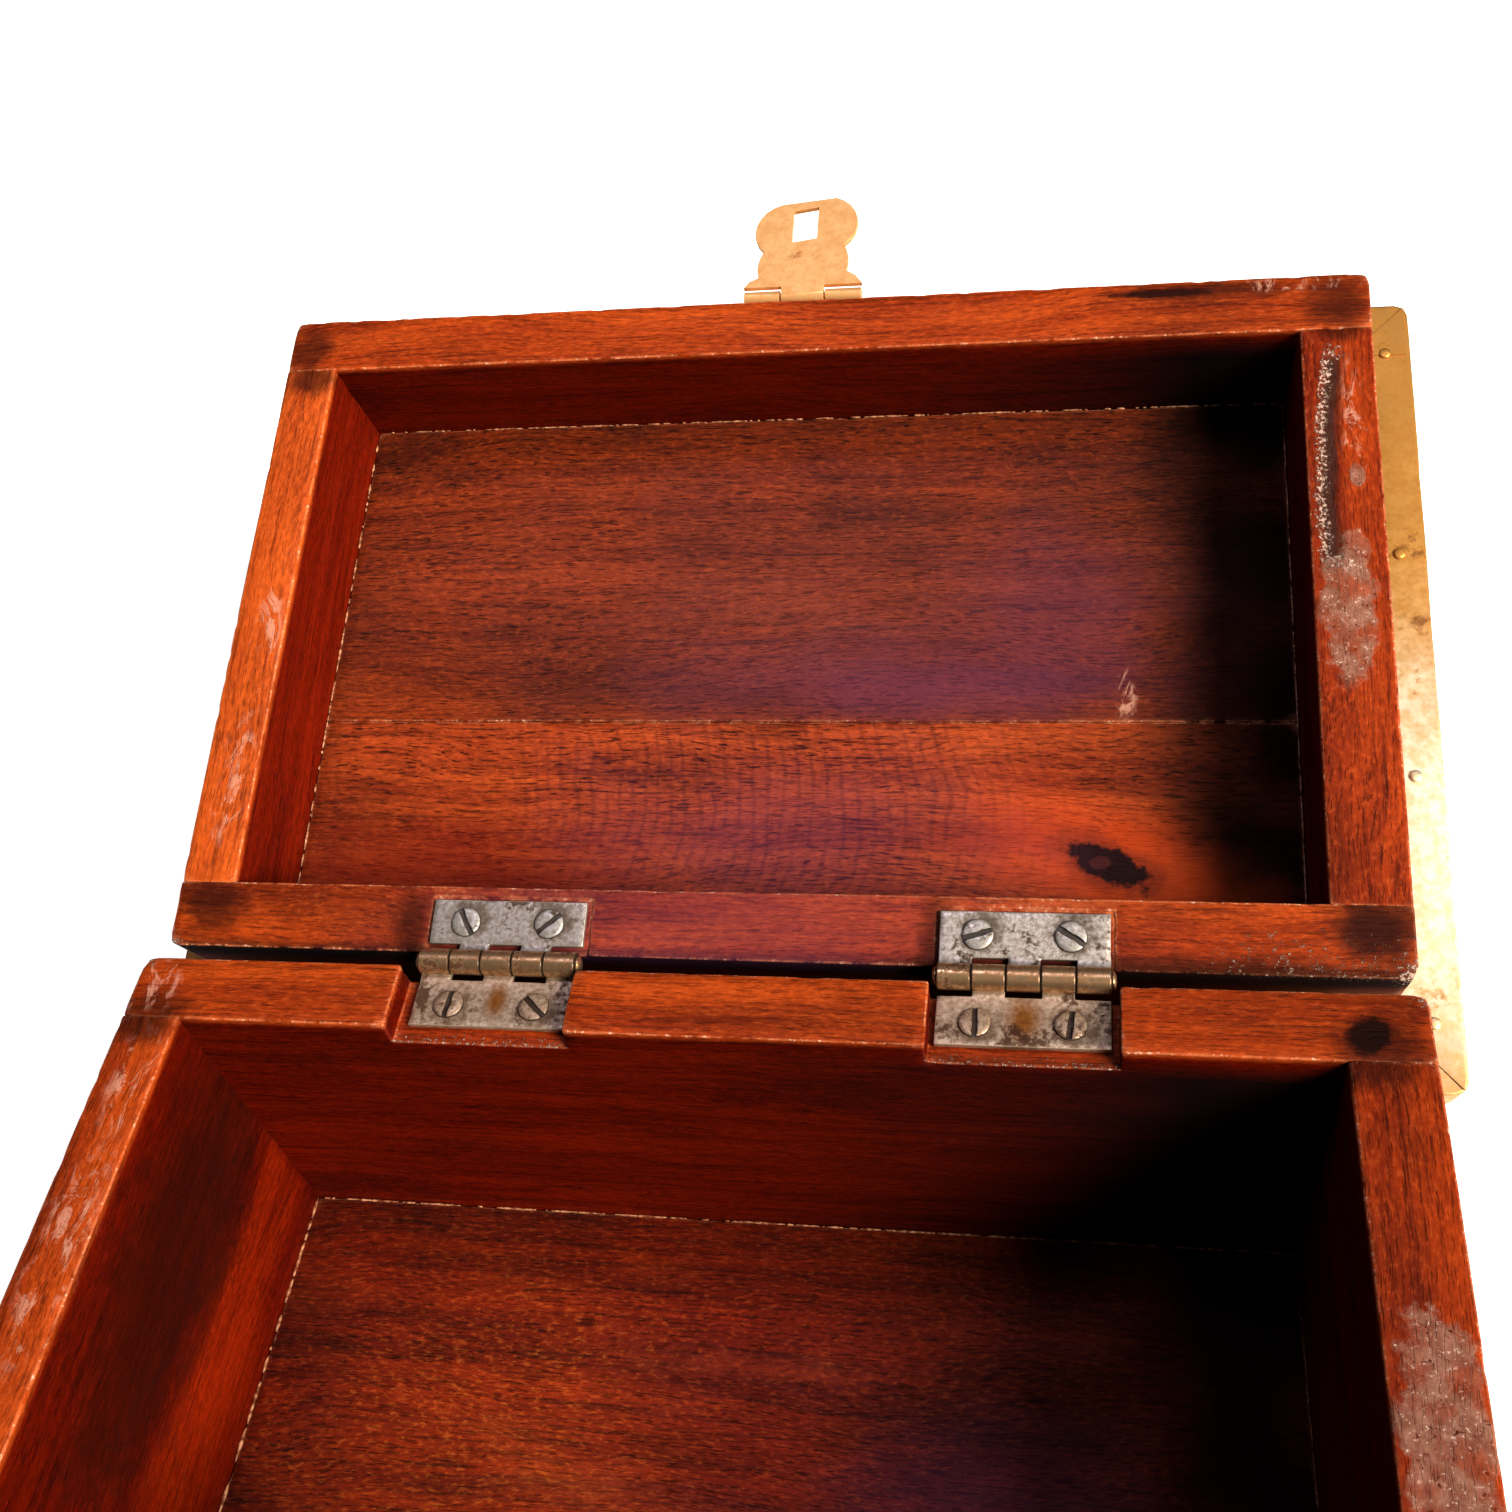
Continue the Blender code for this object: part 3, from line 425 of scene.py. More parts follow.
def block(low, high, cuts=(), step=STEP, near=EDGE):
    """Points and quads of a box less some boxes, gridded, with close lines beside each edge,
    and how far each point is an edge point, 0 to 1."""
    lines = []
    for axis in range(3):
        stops = {float(low[axis]), float(high[axis])}
        for cut in cuts:
            stops |= {float(c[axis]) for c in cut if low[axis] + 1e-6 < c[axis] < high[axis] - 1e-6}
        lines.append(ticks(sorted(stops), step, near))
    middles = [(line[1:] + line[:-1]) / 2 for line in lines]
    solid = np.ones([len(m) for m in middles], bool)
    for cut_low, cut_high in cuts:
        inside = [(m > a) & (m < b) for m, a, b in zip(middles, cut_low, cut_high)]
        solid &= ~(inside[0][:, None, None] & inside[1][None, :, None] & inside[2][None, None, :])
    padded, shape, quads, axes = np.pad(solid, 1), [len(line) for line in lines], [], []
    for axis in range(3):
        for way in (0, 1):
            cells = np.argwhere(padded & ~np.roll(padded, 1 - 2 * way, axis)) - 1
            u, v = (axis + 1) % 3, (axis + 2) % 3
            corners = []
            for du, dv in ((0, 0), (1, 0), (1, 1), (0, 1)):
                node = cells.copy()
                node[:, axis] += way
                node[:, u] += du
                node[:, v] += dv
                corners.append(np.ravel_multi_index(node.T, shape))
            quads.append(np.stack(corners if way else corners[::-1], 1))
            axes += [axis] * len(cells)
    quads, axes = np.concatenate(quads), np.array(axes)
    used, quads = np.unique(quads, return_inverse=True)
    quads = quads.reshape(-1, 4)
    index = np.unravel_index(used, shape)
    points = np.stack([line[i] for line, i in zip(lines, index)], 1)
    facing = np.zeros((len(points), 3))
    for corner in quads.T:
        facing[corner, axes] = 1
    edge = np.clip(facing.sum(1) - 1, 0, 1)
    return points, quads, edge


def averaged(values, quads):
    """Each point's value as the mean over its neighbours on the quads' sides."""
    total, count = np.zeros_like(values), np.zeros(len(values))
    for a, b in zip(quads.T, np.roll(quads, -1, 1).T):
        for here, there in ((a, b), (b, a)):
            np.add.at(total, here, values[there])
            np.add.at(count, here, 1)
    return total / (count[:, None] if values.ndim > 1 else count)


def normals_of(points, quads):
    across = np.cross(points[quads[:, 2]] - points[quads[:, 0]], points[quads[:, 3]] - points[quads[:, 1]])
    total = np.zeros_like(points)
    for corner in quads.T:
        np.add.at(total, corner, across)
    return total / np.maximum(np.linalg.norm(total, axis=1, keepdims=True), 1e-12)


def fuzz(points, size, seed):
    """Smooth noise, about -1 to 1, with features of that size."""
    offset = Vector((seed * 3.1, seed * 5.7, seed * 1.9))
    return np.array([noise.noise(Vector(p) / size + offset) for p in points]) * 1.6


def mesh_piece(name, points, faces, look, body, nodes=(), layers=None):
    """A new piece made of points and faces. layers holds a value for each point, by attribute name."""
    mesh = bpy.data.meshes.new(name)
    mesh.from_pydata([tuple(p) for p in points], [], [tuple(f) for f in faces])
    mesh.materials.append(look)
    mesh.shade_smooth()
    for layer, values in (layers or {}).items():
        data = mesh.attributes.new(layer, "FLOAT", "POINT").data
        data.foreach_set("value", np.asarray(values, np.float32))
    made = linked(name, mesh)
    made.matrix_world = PLACES[body]
    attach(made, body)
    if nodes:
        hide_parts(*nodes)
    return made


def eased(points, quads, edge, rounds):
    for _ in range(rounds):
        points = points + (averaged(points, quads) - points) * (0.6 * edge)[:, None]
    return points


def worn(points, quads, edge, warp, chip, seed, shape=None):
    """Rounds the edges, then bends and chips the surface a little."""
    points = eased(points, quads, edge, 2)
    soft = edge
    for _ in range(2):
        soft = np.maximum(edge, averaged(soft, quads))
    push = warp * fuzz(points, 45 * MM, seed) + 0.12 * warp * fuzz(points, 7 * MM, seed + 1)
    bites = np.clip(fuzz(points, 3.2 * MM, seed + 2) + 0.5 * fuzz(points, 1.1 * MM, seed + 3) - 0.25, 0, 1)
    push = push - chip * bites * soft
    if shape is not None:
        push = push + shape(points)
    return points + normals_of(points, quads) * push[:, None], soft


def corner_rounded(points, low, high, radius):
    """Points of a box's outline moved onto rounded upright corners."""
    flat = points[:, :2]
    inner = np.clip(flat, low[:2] + radius, high[:2] - radius)
    out = flat - inner
    length = np.linalg.norm(out, axis=1)
    widest = np.abs(out).max(1)
    keep = np.where(length > 1e-9, widest / np.maximum(length, 1e-9), 1.0)
    points = points.copy()
    points[:, :2] = inner + out * keep[:, None]
    return points


def board(name, node, look, seed, cuts=(), grow=(0, 0, 0), step=STEP, shape=None, slot="wood",
          layers=None, corner=0.0):
    """A worn board in place of a CAD board. grow closes the CAD's gaps to its neighbours on each axis,
    layers gives attributes as functions of (points, low, high), and corner rounds the outer upright edges."""
    body = "lid" if node.startswith("lid_") else "base"
    low, high = shut_box(node, PLACES[body])
    low, high = low - np.array(grow), high + np.array(grow)
    points, quads, edge = block(low, high, cuts, step)
    values = {layer: give(points, low, high) for layer, give in (layers or {}).items()}
    values.setdefault("outside", on_outside(points, low, high))
    if corner:
        inward = np.array((0, 3 * corner, 0))
        rounded = (low - inward, high) if low[1] > 0 else (low, high + inward)
        points = corner_rounded(points, *rounded, corner)
    points, values["edge"] = worn(points, quads, edge, WARP, CHIP, seed, shape)
    mesh_piece(name, points, quads, look, body, [node], values)


def plank(part, node, grain, seed, tones, marks=(), figure=None, rim=None, polish=None, **build):
    """A board together with its own wood."""
    look = wood(f"caddy_wood_{part}", grain, seed, tones, marks, figure, rim, **(polish or {}))
    board(f"caddy_{part}", node, look, seed, **build)


def on_outside(points, low, high):
    """How much of each point lies on the side of a wall that faces away from the box."""
    middle = (low + high) / 2
    across = 0 if abs(middle[0]) > abs(middle[1]) else 1
    face = high[across] if middle[across] > 0 else low[across]
    away = np.abs(points[:, across] - face)
    if across == 1:
        ends = np.minimum(points[:, 0] - low[0], high[0] - points[:, 0])
        away = np.minimum(away, ends)
    return np.clip(1.5 - away / (2 * MM), 0, 1)


def everywhere(points, low, high):
    return np.ones(len(points))


def corner_shade(reach, left, right, front, back):
    """Painted shade within reach of a panel's borders, where the walls shade it, with its strength at each
    border.
    It spreads further from the right one, painting the right wall's shadow."""

    def strength(points, low, high):
        x, y = points[:, 0], points[:, 1]
        borders = ((x - low[0], left), (y - low[1], front), (high[1] - y, back))
        clear = 1 - right * np.exp(-(((high[0] - x) / (1.9 * reach)) ** 2))
        for distance, much in borders:
            clear *= 1 - much * np.exp(-np.clip(distance, 0, 1) / reach)
        return np.clip((1 - clear) * (1 + 0.35 * fuzz(points, 14 * MM, 31.0)), 0, 1)

    return strength


def wall_shadow(reach):
    """Painted shadow of the right wall on a long wall's inner side: deep at its right end, and clear near the
    rim.
    """

    def strength(points, low, high):
        from_end = np.clip(shut_box("base_right_board")[0][0] - points[:, 0], 0, 1)
        near = np.clip(1.25 * np.exp(-((from_end / reach) ** 1.5)), 0, 1)
        below = np.clip((np.abs(points[:, 2] - rim_of(low, high)) / MM - 1.6) / 5, 0, 1)
        inner = low[1] if low[1] > 0 else high[1]
        return near * below * np.clip(1.5 - np.abs(points[:, 1] - inner) / (2 * MM), 0, 1)

    return strength


def rim_of(low, high):
    """Height of a wall's rim, which is the lower side of the lid's walls."""
    return low[2] if low[2] > LID_ABOVE else high[2]


# Boards -------------------------------------------------------------------------------------------

RIM_TONES = rgb(200, 90, 27), rgb(162, 62, 16), rgb(90, 28, 9)
LEFT_TONES = rgb(224, 112, 42), rgb(186, 82, 28), rgb(112, 40, 13)
RIGHT_TONES = rgb(186, 76, 20), rgb(142, 48, 11), rgb(76, 20, 7)
PANEL_TONES = rgb(168, 72, 26), rgb(126, 48, 17), rgb(54, 17, 8)
REAR_TONES = rgb(198, 90, 36), rgb(148, 56, 21), rgb(66, 19, 9)
FLOOR_TONES = rgb(150, 44, 12), rgb(108, 27, 8), rgb(50, 12, 5)
PANEL_DEPTH = 21.4  # height of the lid's inner panels above its rim, in millimetres
JOIN = 0.13 * MM  # what closes the gaps round the panels
LAP = 0.5 * MM  # how far the side boards' ends run into the long boards
POLISH = {"gloss": 0.42, "pored": 0.9, "shine": 0.15}
PANEL = {"polish": POLISH, "grow": (JOIN, JOIN, 0), "slot": "panel_wood"}
FLOOR = {**PANEL, "polish": {"gloss": 0.42, "pored": 0.7, "shine": 0.13}}
MORTISE_GAPS = {"left": (2.1 * MM, 0.5 * MM), "right": (0.9 * MM, 1.1 * MM)}  # beside the base's leaves


def hinge_cuts():
    """Mortises in the base's back board, one for each hinge, as the frame's leaves give them."""
    board_low, board_high = shut_box("base_back_board")
    for side in ("left", "right"):
        low, high = shut_box(f"hinge_{side}_base_leaf")
        left, right = MORTISE_GAPS[side]
        yield (
            (low[0] - left, board_low[1] - MM, low[2] - 0.3 * MM),
            (high[0] + right, board_high[1] + MM, board_high[2] + MM),
        )


def in_mortise(points, low, high):
    """1 on the floors of the mortises, 0 elsewhere."""
    inside = np.zeros(len(points))
    for cut_low, cut_high in hinge_cuts():
        across = (points[:, 0] > cut_low[0] - 0.1 * MM) & (points[:, 0] < cut_high[0] + 0.1 * MM)
        inside = np.maximum(inside, across & (np.abs(points[:, 2] - cut_low[2]) < 0.3 * MM))
    return inside


def mortise_specks(points, low, high):
    """White specks on the outer corners and along the front edges of the mortises."""
    front = np.clip(1 - np.abs(points[:, 1] - low[1]) / (1.2 * MM), 0, 1)
    return np.maximum(corner_specks(points, low, high), 0.8 * in_mortise(points, low, high) * front)


def lid_cuts():
    """Shallow beds for the leaves in the rim of the lid's back board."""
    board_low, board_high = shut_box("lid_back_board", LID)
    for side in ("left", "right"):
        low, high = shut_box(f"hinge_{side}_lid_leaf", LID)
        middle, half, reach = (low[0] + high[0]) / 2, (high[0] - low[0]) / 2, low[1]
        yield (
            (middle - half - 0.6 * MM, reach - 0.7 * MM, board_low[2] - MM),
            (middle + half + 0.6 * MM, board_high[1] + MM, board_low[2] + 0.35 * MM),
        )


def base_boards():
    rim = shut_box("base_front_board")[1][2] / MM
    plank("base_back", "base_back_board", "X", 1.3, RIM_TONES, [
        ("stain", (-92, 51, rim), (7, 3.5, 6)), ("stain", (91, 52, rim), (6, 5, 7)),
        ("burn", (88.8, 54.2, rim), (3.4, 2.8, 3)), ("glue", (-95, 56, rim), (5, 4, 2)),
    ], rim=rim, cuts=list(hinge_cuts()), corner=CORNER,
        layers={"painted_shade": wall_shadow(54 * MM), "grit": mortise_specks, "mortise": in_mortise})
    plank("base_front", "base_front_board", "X", 2.1, RIM_TONES, rim=rim, corner=CORNER)
    plank("base_left", "base_left_board", "Y", 3.4, RIM_TONES, [
        ("glue", (-92, 12, rim), (3.2, 15, 2)), ("glue", (-92, 39, rim), (2.6, 9, 2)),
        ("stain", (-93, 49, rim), (5, 3, 3)), ("stain", (-87, 22, 0.7 * rim), (5, 40, 15)),
        ("amber", (-87, 2, 0.38 * rim), (5, 44, 9)),
    ], rim=rim, grow=(0, LAP, 0))
    plank("base_right", "base_right_board", "Y", 4.2, RIGHT_TONES, [
        ("bare", (92, 1, rim), (5.4, 15, 3)), ("stain", (89, 49, rim), (5, 3, 3)),
    ], rim=rim, grow=(0, LAP, 0), step=1.2 * MM)
    plank("floor", "base_floor_panel", "X", 5.7, FLOOR_TONES, [
        ("violet", (38, 4, 13), (20, 12, 4)), ("amber", (-48, 8, 13), (26, 26, 4)),
    ], layers={"painted_shade": corner_shade(20 * MM, 0.4, 1.0, 0.3, 0.4)}, **FLOOR)
    plank("bottom", "base_bottom_board", "X", 6.9, RIM_TONES, rim=rim, step=2.4 * MM,
          layers={"outside": everywhere})


def groove(points, wide, shift=0.0, longer=0.0):
    """How far each point is inside the groove along the lid's right rim, 0 to 1, for its half width in mm."""
    rim = shut_box("lid_right_board", LID)[0]
    x, y, z = (points / MM).T
    centre = 88.9 + shift + 1.8 * ((-8 - y) / 36) ** 2 + 0.15 * np.sin(y / 2.3)
    across = np.clip(1 - ((x - centre) / wide) ** 4, 0, 1)
    ends = np.clip((y + 45.5 + longer) / 1.2, 0, 1) * np.clip((-6.5 + longer - y) / 1.2, 0, 1)
    return across * ends * (z < rim[2] / MM + 0.8)


def gouge(points):
    """Depth of the groove."""
    return -0.75 * MM * groove(points, 1.7) * (0.7 + 0.3 * fuzz(points, 1.3 * MM, 9.0))


def hollow(points, low, high):
    return groove(points, 1.5)


def groove_grit(points, low, high):
    """Grit lies in the groove's left half and round its ends."""
    ends = np.maximum(groove(points, 2.2, 0.3, 2.5) - groove(points, 2.6, 0, -1.0), 0)
    return np.maximum(groove(points, 1.3, -1.1), 0.8 * ends)


def corner_specks(points, low, high):
    """White specks on a long board's two outer upright corners."""
    x, y = points[:, 0], points[:, 1]
    outer = high[1] if low[1] > 0 else low[1]
    from_corner = np.hypot(np.minimum(x - low[0], high[0] - x), y - outer) / MM
    near_rim = np.clip(1.6 - np.abs(points[:, 2] - rim_of(low, high)) / (5 * MM), 0, 1)
    return 0.9 * np.clip(1.3 - from_corner / 2.6, 0, 1) * near_rim


def back_specks(points, low, high):
    """Corner specks, and a scuffed run along the outer rim near the right end."""
    x, y, z = (points / MM).T
    near_rim = np.clip(1 - (z - low[2] / MM) / 3, 0, 1)
    beside = np.clip(1 - np.abs(y - high[1] / MM) / 9, 0, 1)
    return corner_specks(points, low, high) + 0.5 * beside * near_rim * np.clip((x - 64) / 12, 0, 1)


def gap_shade(points, low, high):
    """Painted shade on the lid's back board where it faces the base's, close to the rim, in the gap between
    them.
    """
    outer = np.clip(1 - (high[1] - points[:, 1]) / MM, 0, 1)
    return outer * np.clip(1.6 - (points[:, 2] - low[2]) / (6 * MM), 0, 1)


def lid_boards():
    rim = shut_box("lid_front_board", LID)[0][2] / MM
    panel = rim + PANEL_DEPTH
    plank("lid_back", "lid_back_board", "X", 7.7, RIM_TONES, [
        ("stain", (-91, 54, rim), (6, 5, 6)), ("stain", (93, 52.5, rim), (6, 5, 6)),
        ("stain", (92, 54, rim), (4.5, 4, 6)),
        # The dark mark along the outer face at the right end is painted shade in the gap between lid and base
        ("violet", (-5, 57, rim), (42, 12, 4)), ("stain", (64, 61.5, rim), (34, 2.6, 4)),
        ("stain", (29, 57, rim), (3, 6, 2)), ("stain", (-56, 57, rim), (3, 6, 2)),
    ], rim=rim, cuts=list(lid_cuts()), corner=CORNER, layers={"grit": back_specks, "painted_shade": gap_shade})
    plank("lid_front", "lid_front_board", "X", 8.1, RIM_TONES, [
        ("burn", (64, -58.9, rim), (9, 0.9, 2)), ("stain", (70, -59.2, rim), (14, 1.6, 2)),
        ("stain", (92.6, -56, rim), (5, 5, 3)), ("glue", (84, -59.6, rim), (10, 1.2, 2)),
        ("stain", (-94, -55, rim), (4, 4, 3)),
    ], rim=rim, corner=CORNER, layers={"painted_shade": wall_shadow(44 * MM), "grit": corner_specks})
    plank("lid_left", "lid_left_board", "Y", 9.6, LEFT_TONES, [
        ("glue", (-91, 6, rim), (2.2, 12, 2)), ("glue", (-92, 32, rim), (2.4, 10, 2)),
        ("stain", (-92, -48, rim), (5, 3, 3)),
    ], rim=rim, grow=(0, LAP, 0))
    plank("lid_right", "lid_right_board", "Y", 10.2, RIGHT_TONES, [
        ("glue", (93.4, -32, rim), (1.6, 11, 3)), ("bare", (93.6, -22, rim), (1.2, 2.2, 3)),
        ("bare", (91, 2.5, rim), (4.2, 12, 3)), ("bare", (92.6, -8, rim), (2.2, 4, 3)),
        ("stain", (92, -50, rim), (4, 2, 3)),
    ], rim=rim, grow=(0, LAP, 0), step=0.7 * MM, shape=gouge, layers={"hollow": hollow, "grit": groove_grit})
    plank("panel_front", "lid_panel_front", "X", 11.5, PANEL_TONES, [
        ("violet", (16, 4, panel), (38, 8, 5)), ("violet", (24, 6, panel), (22, 4, 5)),
        ("violet", (46, -10, panel), (15, 12, 5)), ("haze", (0, -12, panel), (62, 26, 5)),
        ("glue", (57.6, 8.0, panel), (1.4, 4.2, 5)),
    ], layers={"painted_shade": corner_shade(14 * MM, 0.3, 1.0, 0.3, 0.15)}, **PANEL)
    plank("panel_rear", "lid_panel_rear", "X", 12.3, REAR_TONES, [
        ("knot", (55, 38.2, panel), (7.5, 3.0, 5)), ("violet", (0, 36, panel), (34, 15, 5)),
        ("red", (-60, 44, panel), (30, 10, 5)),
    ], ((0, 29, panel), (46, 20, 6)), layers={"painted_shade": corner_shade(14 * MM, 0.4, 1.0, 0.0, 0.3)}, **PANEL)


# Metalwork ----------------------------------------------------------------------------------------

SHEET = 0.5 * MM  # the lid's brass
LEAF = 0.9 * MM  # the hinges' leaves
KNUCKLES = 5
KNUCKLE_RADIUS = 2.0 * MM
KNUCKLE_GAP = 0.06 * MM  # left at each end of a knuckle that faces another
LEAF_GAP = 0.15 * MM  # between a leaf and the other leaf's knuckle
SLOT_FLOOR, SLOT_HALF = 0.05 * MM, 0.42 * MM  # a screw slot's height above the plate, and its half width
SLOT_TURNS = {  # angles of the slots of screws a and b, in degrees
    "left": {"lid": (-60, 40), "base": (86, -42)},
    "right": {"lid": (20, -32), "base": (90, 84)},
}
NAIL_RADIUS = 1.05 * MM
OUTWARD = {"base": 1, "lid": -1}  # which way the leaves and their screws face, up or down, with the lid shut
SCREW_TALL, SCREW_CAD_TALL = 0.5 * MM, 0.6 * MM  # the hinge screws' heads here and in the frame


def turned(profile, sides, jitter=0.0, seed=0.0):
    """Points and faces of a closed solid turned about Z from (radius, height) pairs, ends on the axis."""
    points, rings, faces = [], [], []
    for radius, height in profile:
        count = 1 if radius == 0 else sides
        rings.append(range(len(points), len(points) + count))
        for i in range(count):
            a = 2 * math.pi * i / sides
            points.append((radius * math.cos(a), radius * math.sin(a), height))
    for near, far in zip(rings, rings[1:]):
        for i in range(sides):
            j = (i + 1) % sides
            corners = (near[i % len(near)], near[j % len(near)], far[j % len(far)], far[i % len(far)])
            faces.append(tuple(dict.fromkeys(corners)))
    points = np.array(points)
    if jitter:
        points = points + jitter * np.stack([fuzz(points, 0.9 * MM, seed + k) for k in range(3)], 1)
    return points, faces


def facing(points, centre, way):
    """Turned points moved to centre, with their axis along way."""
    turn = np.array(Vector((0, 0, 1)).rotation_difference(Vector(way)).to_matrix())
    return points @ turn.T + np.array(centre)


def leaf(side, of, look, bronze, seed):
    """A hinge's leaf: a plate cranked into its rolled knuckles, rubbed round at its edges."""
    node = f"hinge_{side}_{of}_leaf"
    low, high = shut_box(node, PLACES[of])
    axis = Vector(joint("lid_hinge")["pos_m"])
    pitch = (high[0] - low[0]) / KNUCKLES
    first = (side == "left") == (of == "base")  # whether knuckles 1, 3 and 5 are this leaf's
    bottom = low[2] if of == "base" else high[2] - LEAF
    crank, reach = (0.3 * MM, 2.5 * MM) if of == "base" else (-0.6 * MM, 3.4 * MM)
    own, cuts = [], []
    for i in range(KNUCKLES):
        start, end = low[0] + i * pitch, low[0] + (i + 1) * pitch
        at_start, at_end = i == 0, i == KNUCKLES - 1
        if (i % 2 == 0) == first:
            own.append((start + (0 if at_start else KNUCKLE_GAP), end - (0 if at_end else KNUCKLE_GAP)))
        else:
            left, right = start - (MM if at_start else LEAF_GAP), end + (MM if at_end else LEAF_GAP)
            cuts.append(((left, axis.y - reach, bottom - MM), (right, axis.y + MM, bottom + 2 * MM)))
    plate = (low[0], low[1], bottom), (high[0], axis.y, bottom + LEAF)
    points, quads, edge = block(*plate, cuts, 0.8 * MM, 0.14 * MM)
    points, soft = worn(points, quads, edge, 0.05 * MM, 0.12 * MM, seed)
    along_crank = np.clip((points[:, 1] - axis.y + 3.4 * MM) / (2.0 * MM), 0, 1)
    points[:, 2] += crank * along_crank**2 * (3 - 2 * along_crank)
    mesh_piece(f"caddy_{node}", points, quads, look, of, [node], {"edge": soft})
    for i, span in enumerate(own):
        knuckle(f"caddy_hinge_{side}_knuckle_{of}_{i + 1}", of, span, axis, bronze, seed + i)


def knuckle(name, of, span, axis, look, seed):
    """A barrel with slightly rounded ends, painted dark as shade in the gaps between knuckles."""
    radius, length, ease = KNUCKLE_RADIUS, span[1] - span[0], 0.09 * MM
    profile = [(0, 0), (radius - ease, 0), (radius, ease), (radius, 3 * ease), (radius, length / 2),
               (radius, length - 3 * ease), (radius, length - ease), (radius - ease, length), (0, length)]
    barrel, faces = turned(profile, 32, 0.015 * MM, seed)
    ends = (barrel[:, 2] < 2 * ease) | (barrel[:, 2] > length - 2 * ease)
    barrel = facing(barrel, (span[0], axis.y, axis.z), (1, 0, 0))
    made = mesh_piece(name, barrel, faces, look, of, layers={"ends": ends})
    made.data.set_sharp_from_angle(angle=math.radians(50))


def slot_cutter(rng):
    """Mesh of a screw's slot, whose sides are a little chewed."""
    count, reach = 9, 3 * MM
    outline = []
    for side in (1, -1):
        for i in range(count):
            u = side * (1 - 2 * i / (count - 1)) * reach
            outline.append((u, side * -(SLOT_HALF + rng.uniform(-0.06, 0.12) * MM)))
    solid = bmesh.new()
    floor, roof = ([solid.verts.new((u, v, z)) for u, v in outline] for z in (SLOT_FLOOR, 2 * MM))
    solid.faces.new(floor)
    solid.faces.new(roof[::-1])
    for i in range(len(outline)):
        j = (i + 1) % len(outline)
        solid.faces.new((floor[i], floor[j], roof[j], roof[i]))
    bmesh.ops.recalc_face_normals(solid, faces=solid.faces)
    mesh = bpy.data.meshes.new("slot")
    solid.to_mesh(mesh)
    solid.free()
    return mesh


def screw_head(side, of, end, look, seed):
    """A flat, slotted head with a rounded edge and a stub of its shank."""
    node, way = f"hinge_{side}_{of}_screw_{end}", OUTWARD[of]
    low, high = shut_box(node, PLACES[of])
    radius, brim = (high[0] - low[0]) / 2, 0.2 * MM
    under = (high[2] if way > 0 else low[2]) - way * SCREW_CAD_TALL
    profile = [(0, -2 * MM), (MM, -2 * MM), (MM, 0), (radius, 0), (radius, brim)]
    profile += [(radius * c, brim + (SCREW_TALL - brim) * (1 - c**9)) for c in (0.97, 0.9, 0.75, 0.4)]
    points, faces = turned(profile + [(0, SCREW_TALL)], 36, 0.025 * MM, seed)
    uncut = bpy.data.meshes.new("uncut")
    uncut.from_pydata([tuple(p) for p in points], [], faces)
    whole, tool = linked("whole", uncut), linked("tool", slot_cutter(random.Random(seed)))
    modifier = whole.modifiers.new("slot", "BOOLEAN")
    modifier.operation, modifier.solver, modifier.object = "DIFFERENCE", "EXACT", tool
    ease_edges(whole, 0.07 * MM, 0.7)
    made = bpy.data.meshes.new_from_object(whole.evaluated_get(bpy.context.evaluated_depsgraph_get()))
    turn = Matrix.Rotation(math.radians(SLOT_TURNS[side][of]["ab".index(end)]), 4, "Z")
    if way < 0:
        turn = Matrix.Rotation(math.pi, 4, "X") @ turn
    made.transform(Matrix.Translation(((low[0] + high[0]) / 2, (low[1] + high[1]) / 2, under)) @ turn)
    points, faces = [v.co.copy() for v in made.vertices], [tuple(f.vertices) for f in made.polygons]
    for item in (whole, tool):
        bpy.data.objects.remove(item)
    head = mesh_piece(f"caddy_{node}", points, faces, look, of, [node])
    head.data.set_sharp_from_angle(angle=math.radians(35))


def screw_rings(of):
    """Stains round the screws of the leaves on one side, and a thin dark ring close round each head."""
    for side in ("left", "right"):
        for end in "ab":
            low, high = shut_box(f"hinge_{side}_{of}_screw_{end}", PLACES[of])
            middle = (low + high) / 2 / MM
            yield (middle[0] + 0.4, middle[1] - 0.3, middle[2]), (3.6, 3.4, 9)
            yield (middle[0] - 0.15, middle[1] + 0.15, middle[2]), (2.3, 2.3, 9)


def screw_top(of):
    """Height of the heads' flat side."""
    low, high = shut_box(f"hinge_left_{of}_screw_a", PLACES[of])
    way = OUTWARD[of]
    return (high[2] if way > 0 else low[2]) - way * (SCREW_CAD_TALL - SCREW_TALL)


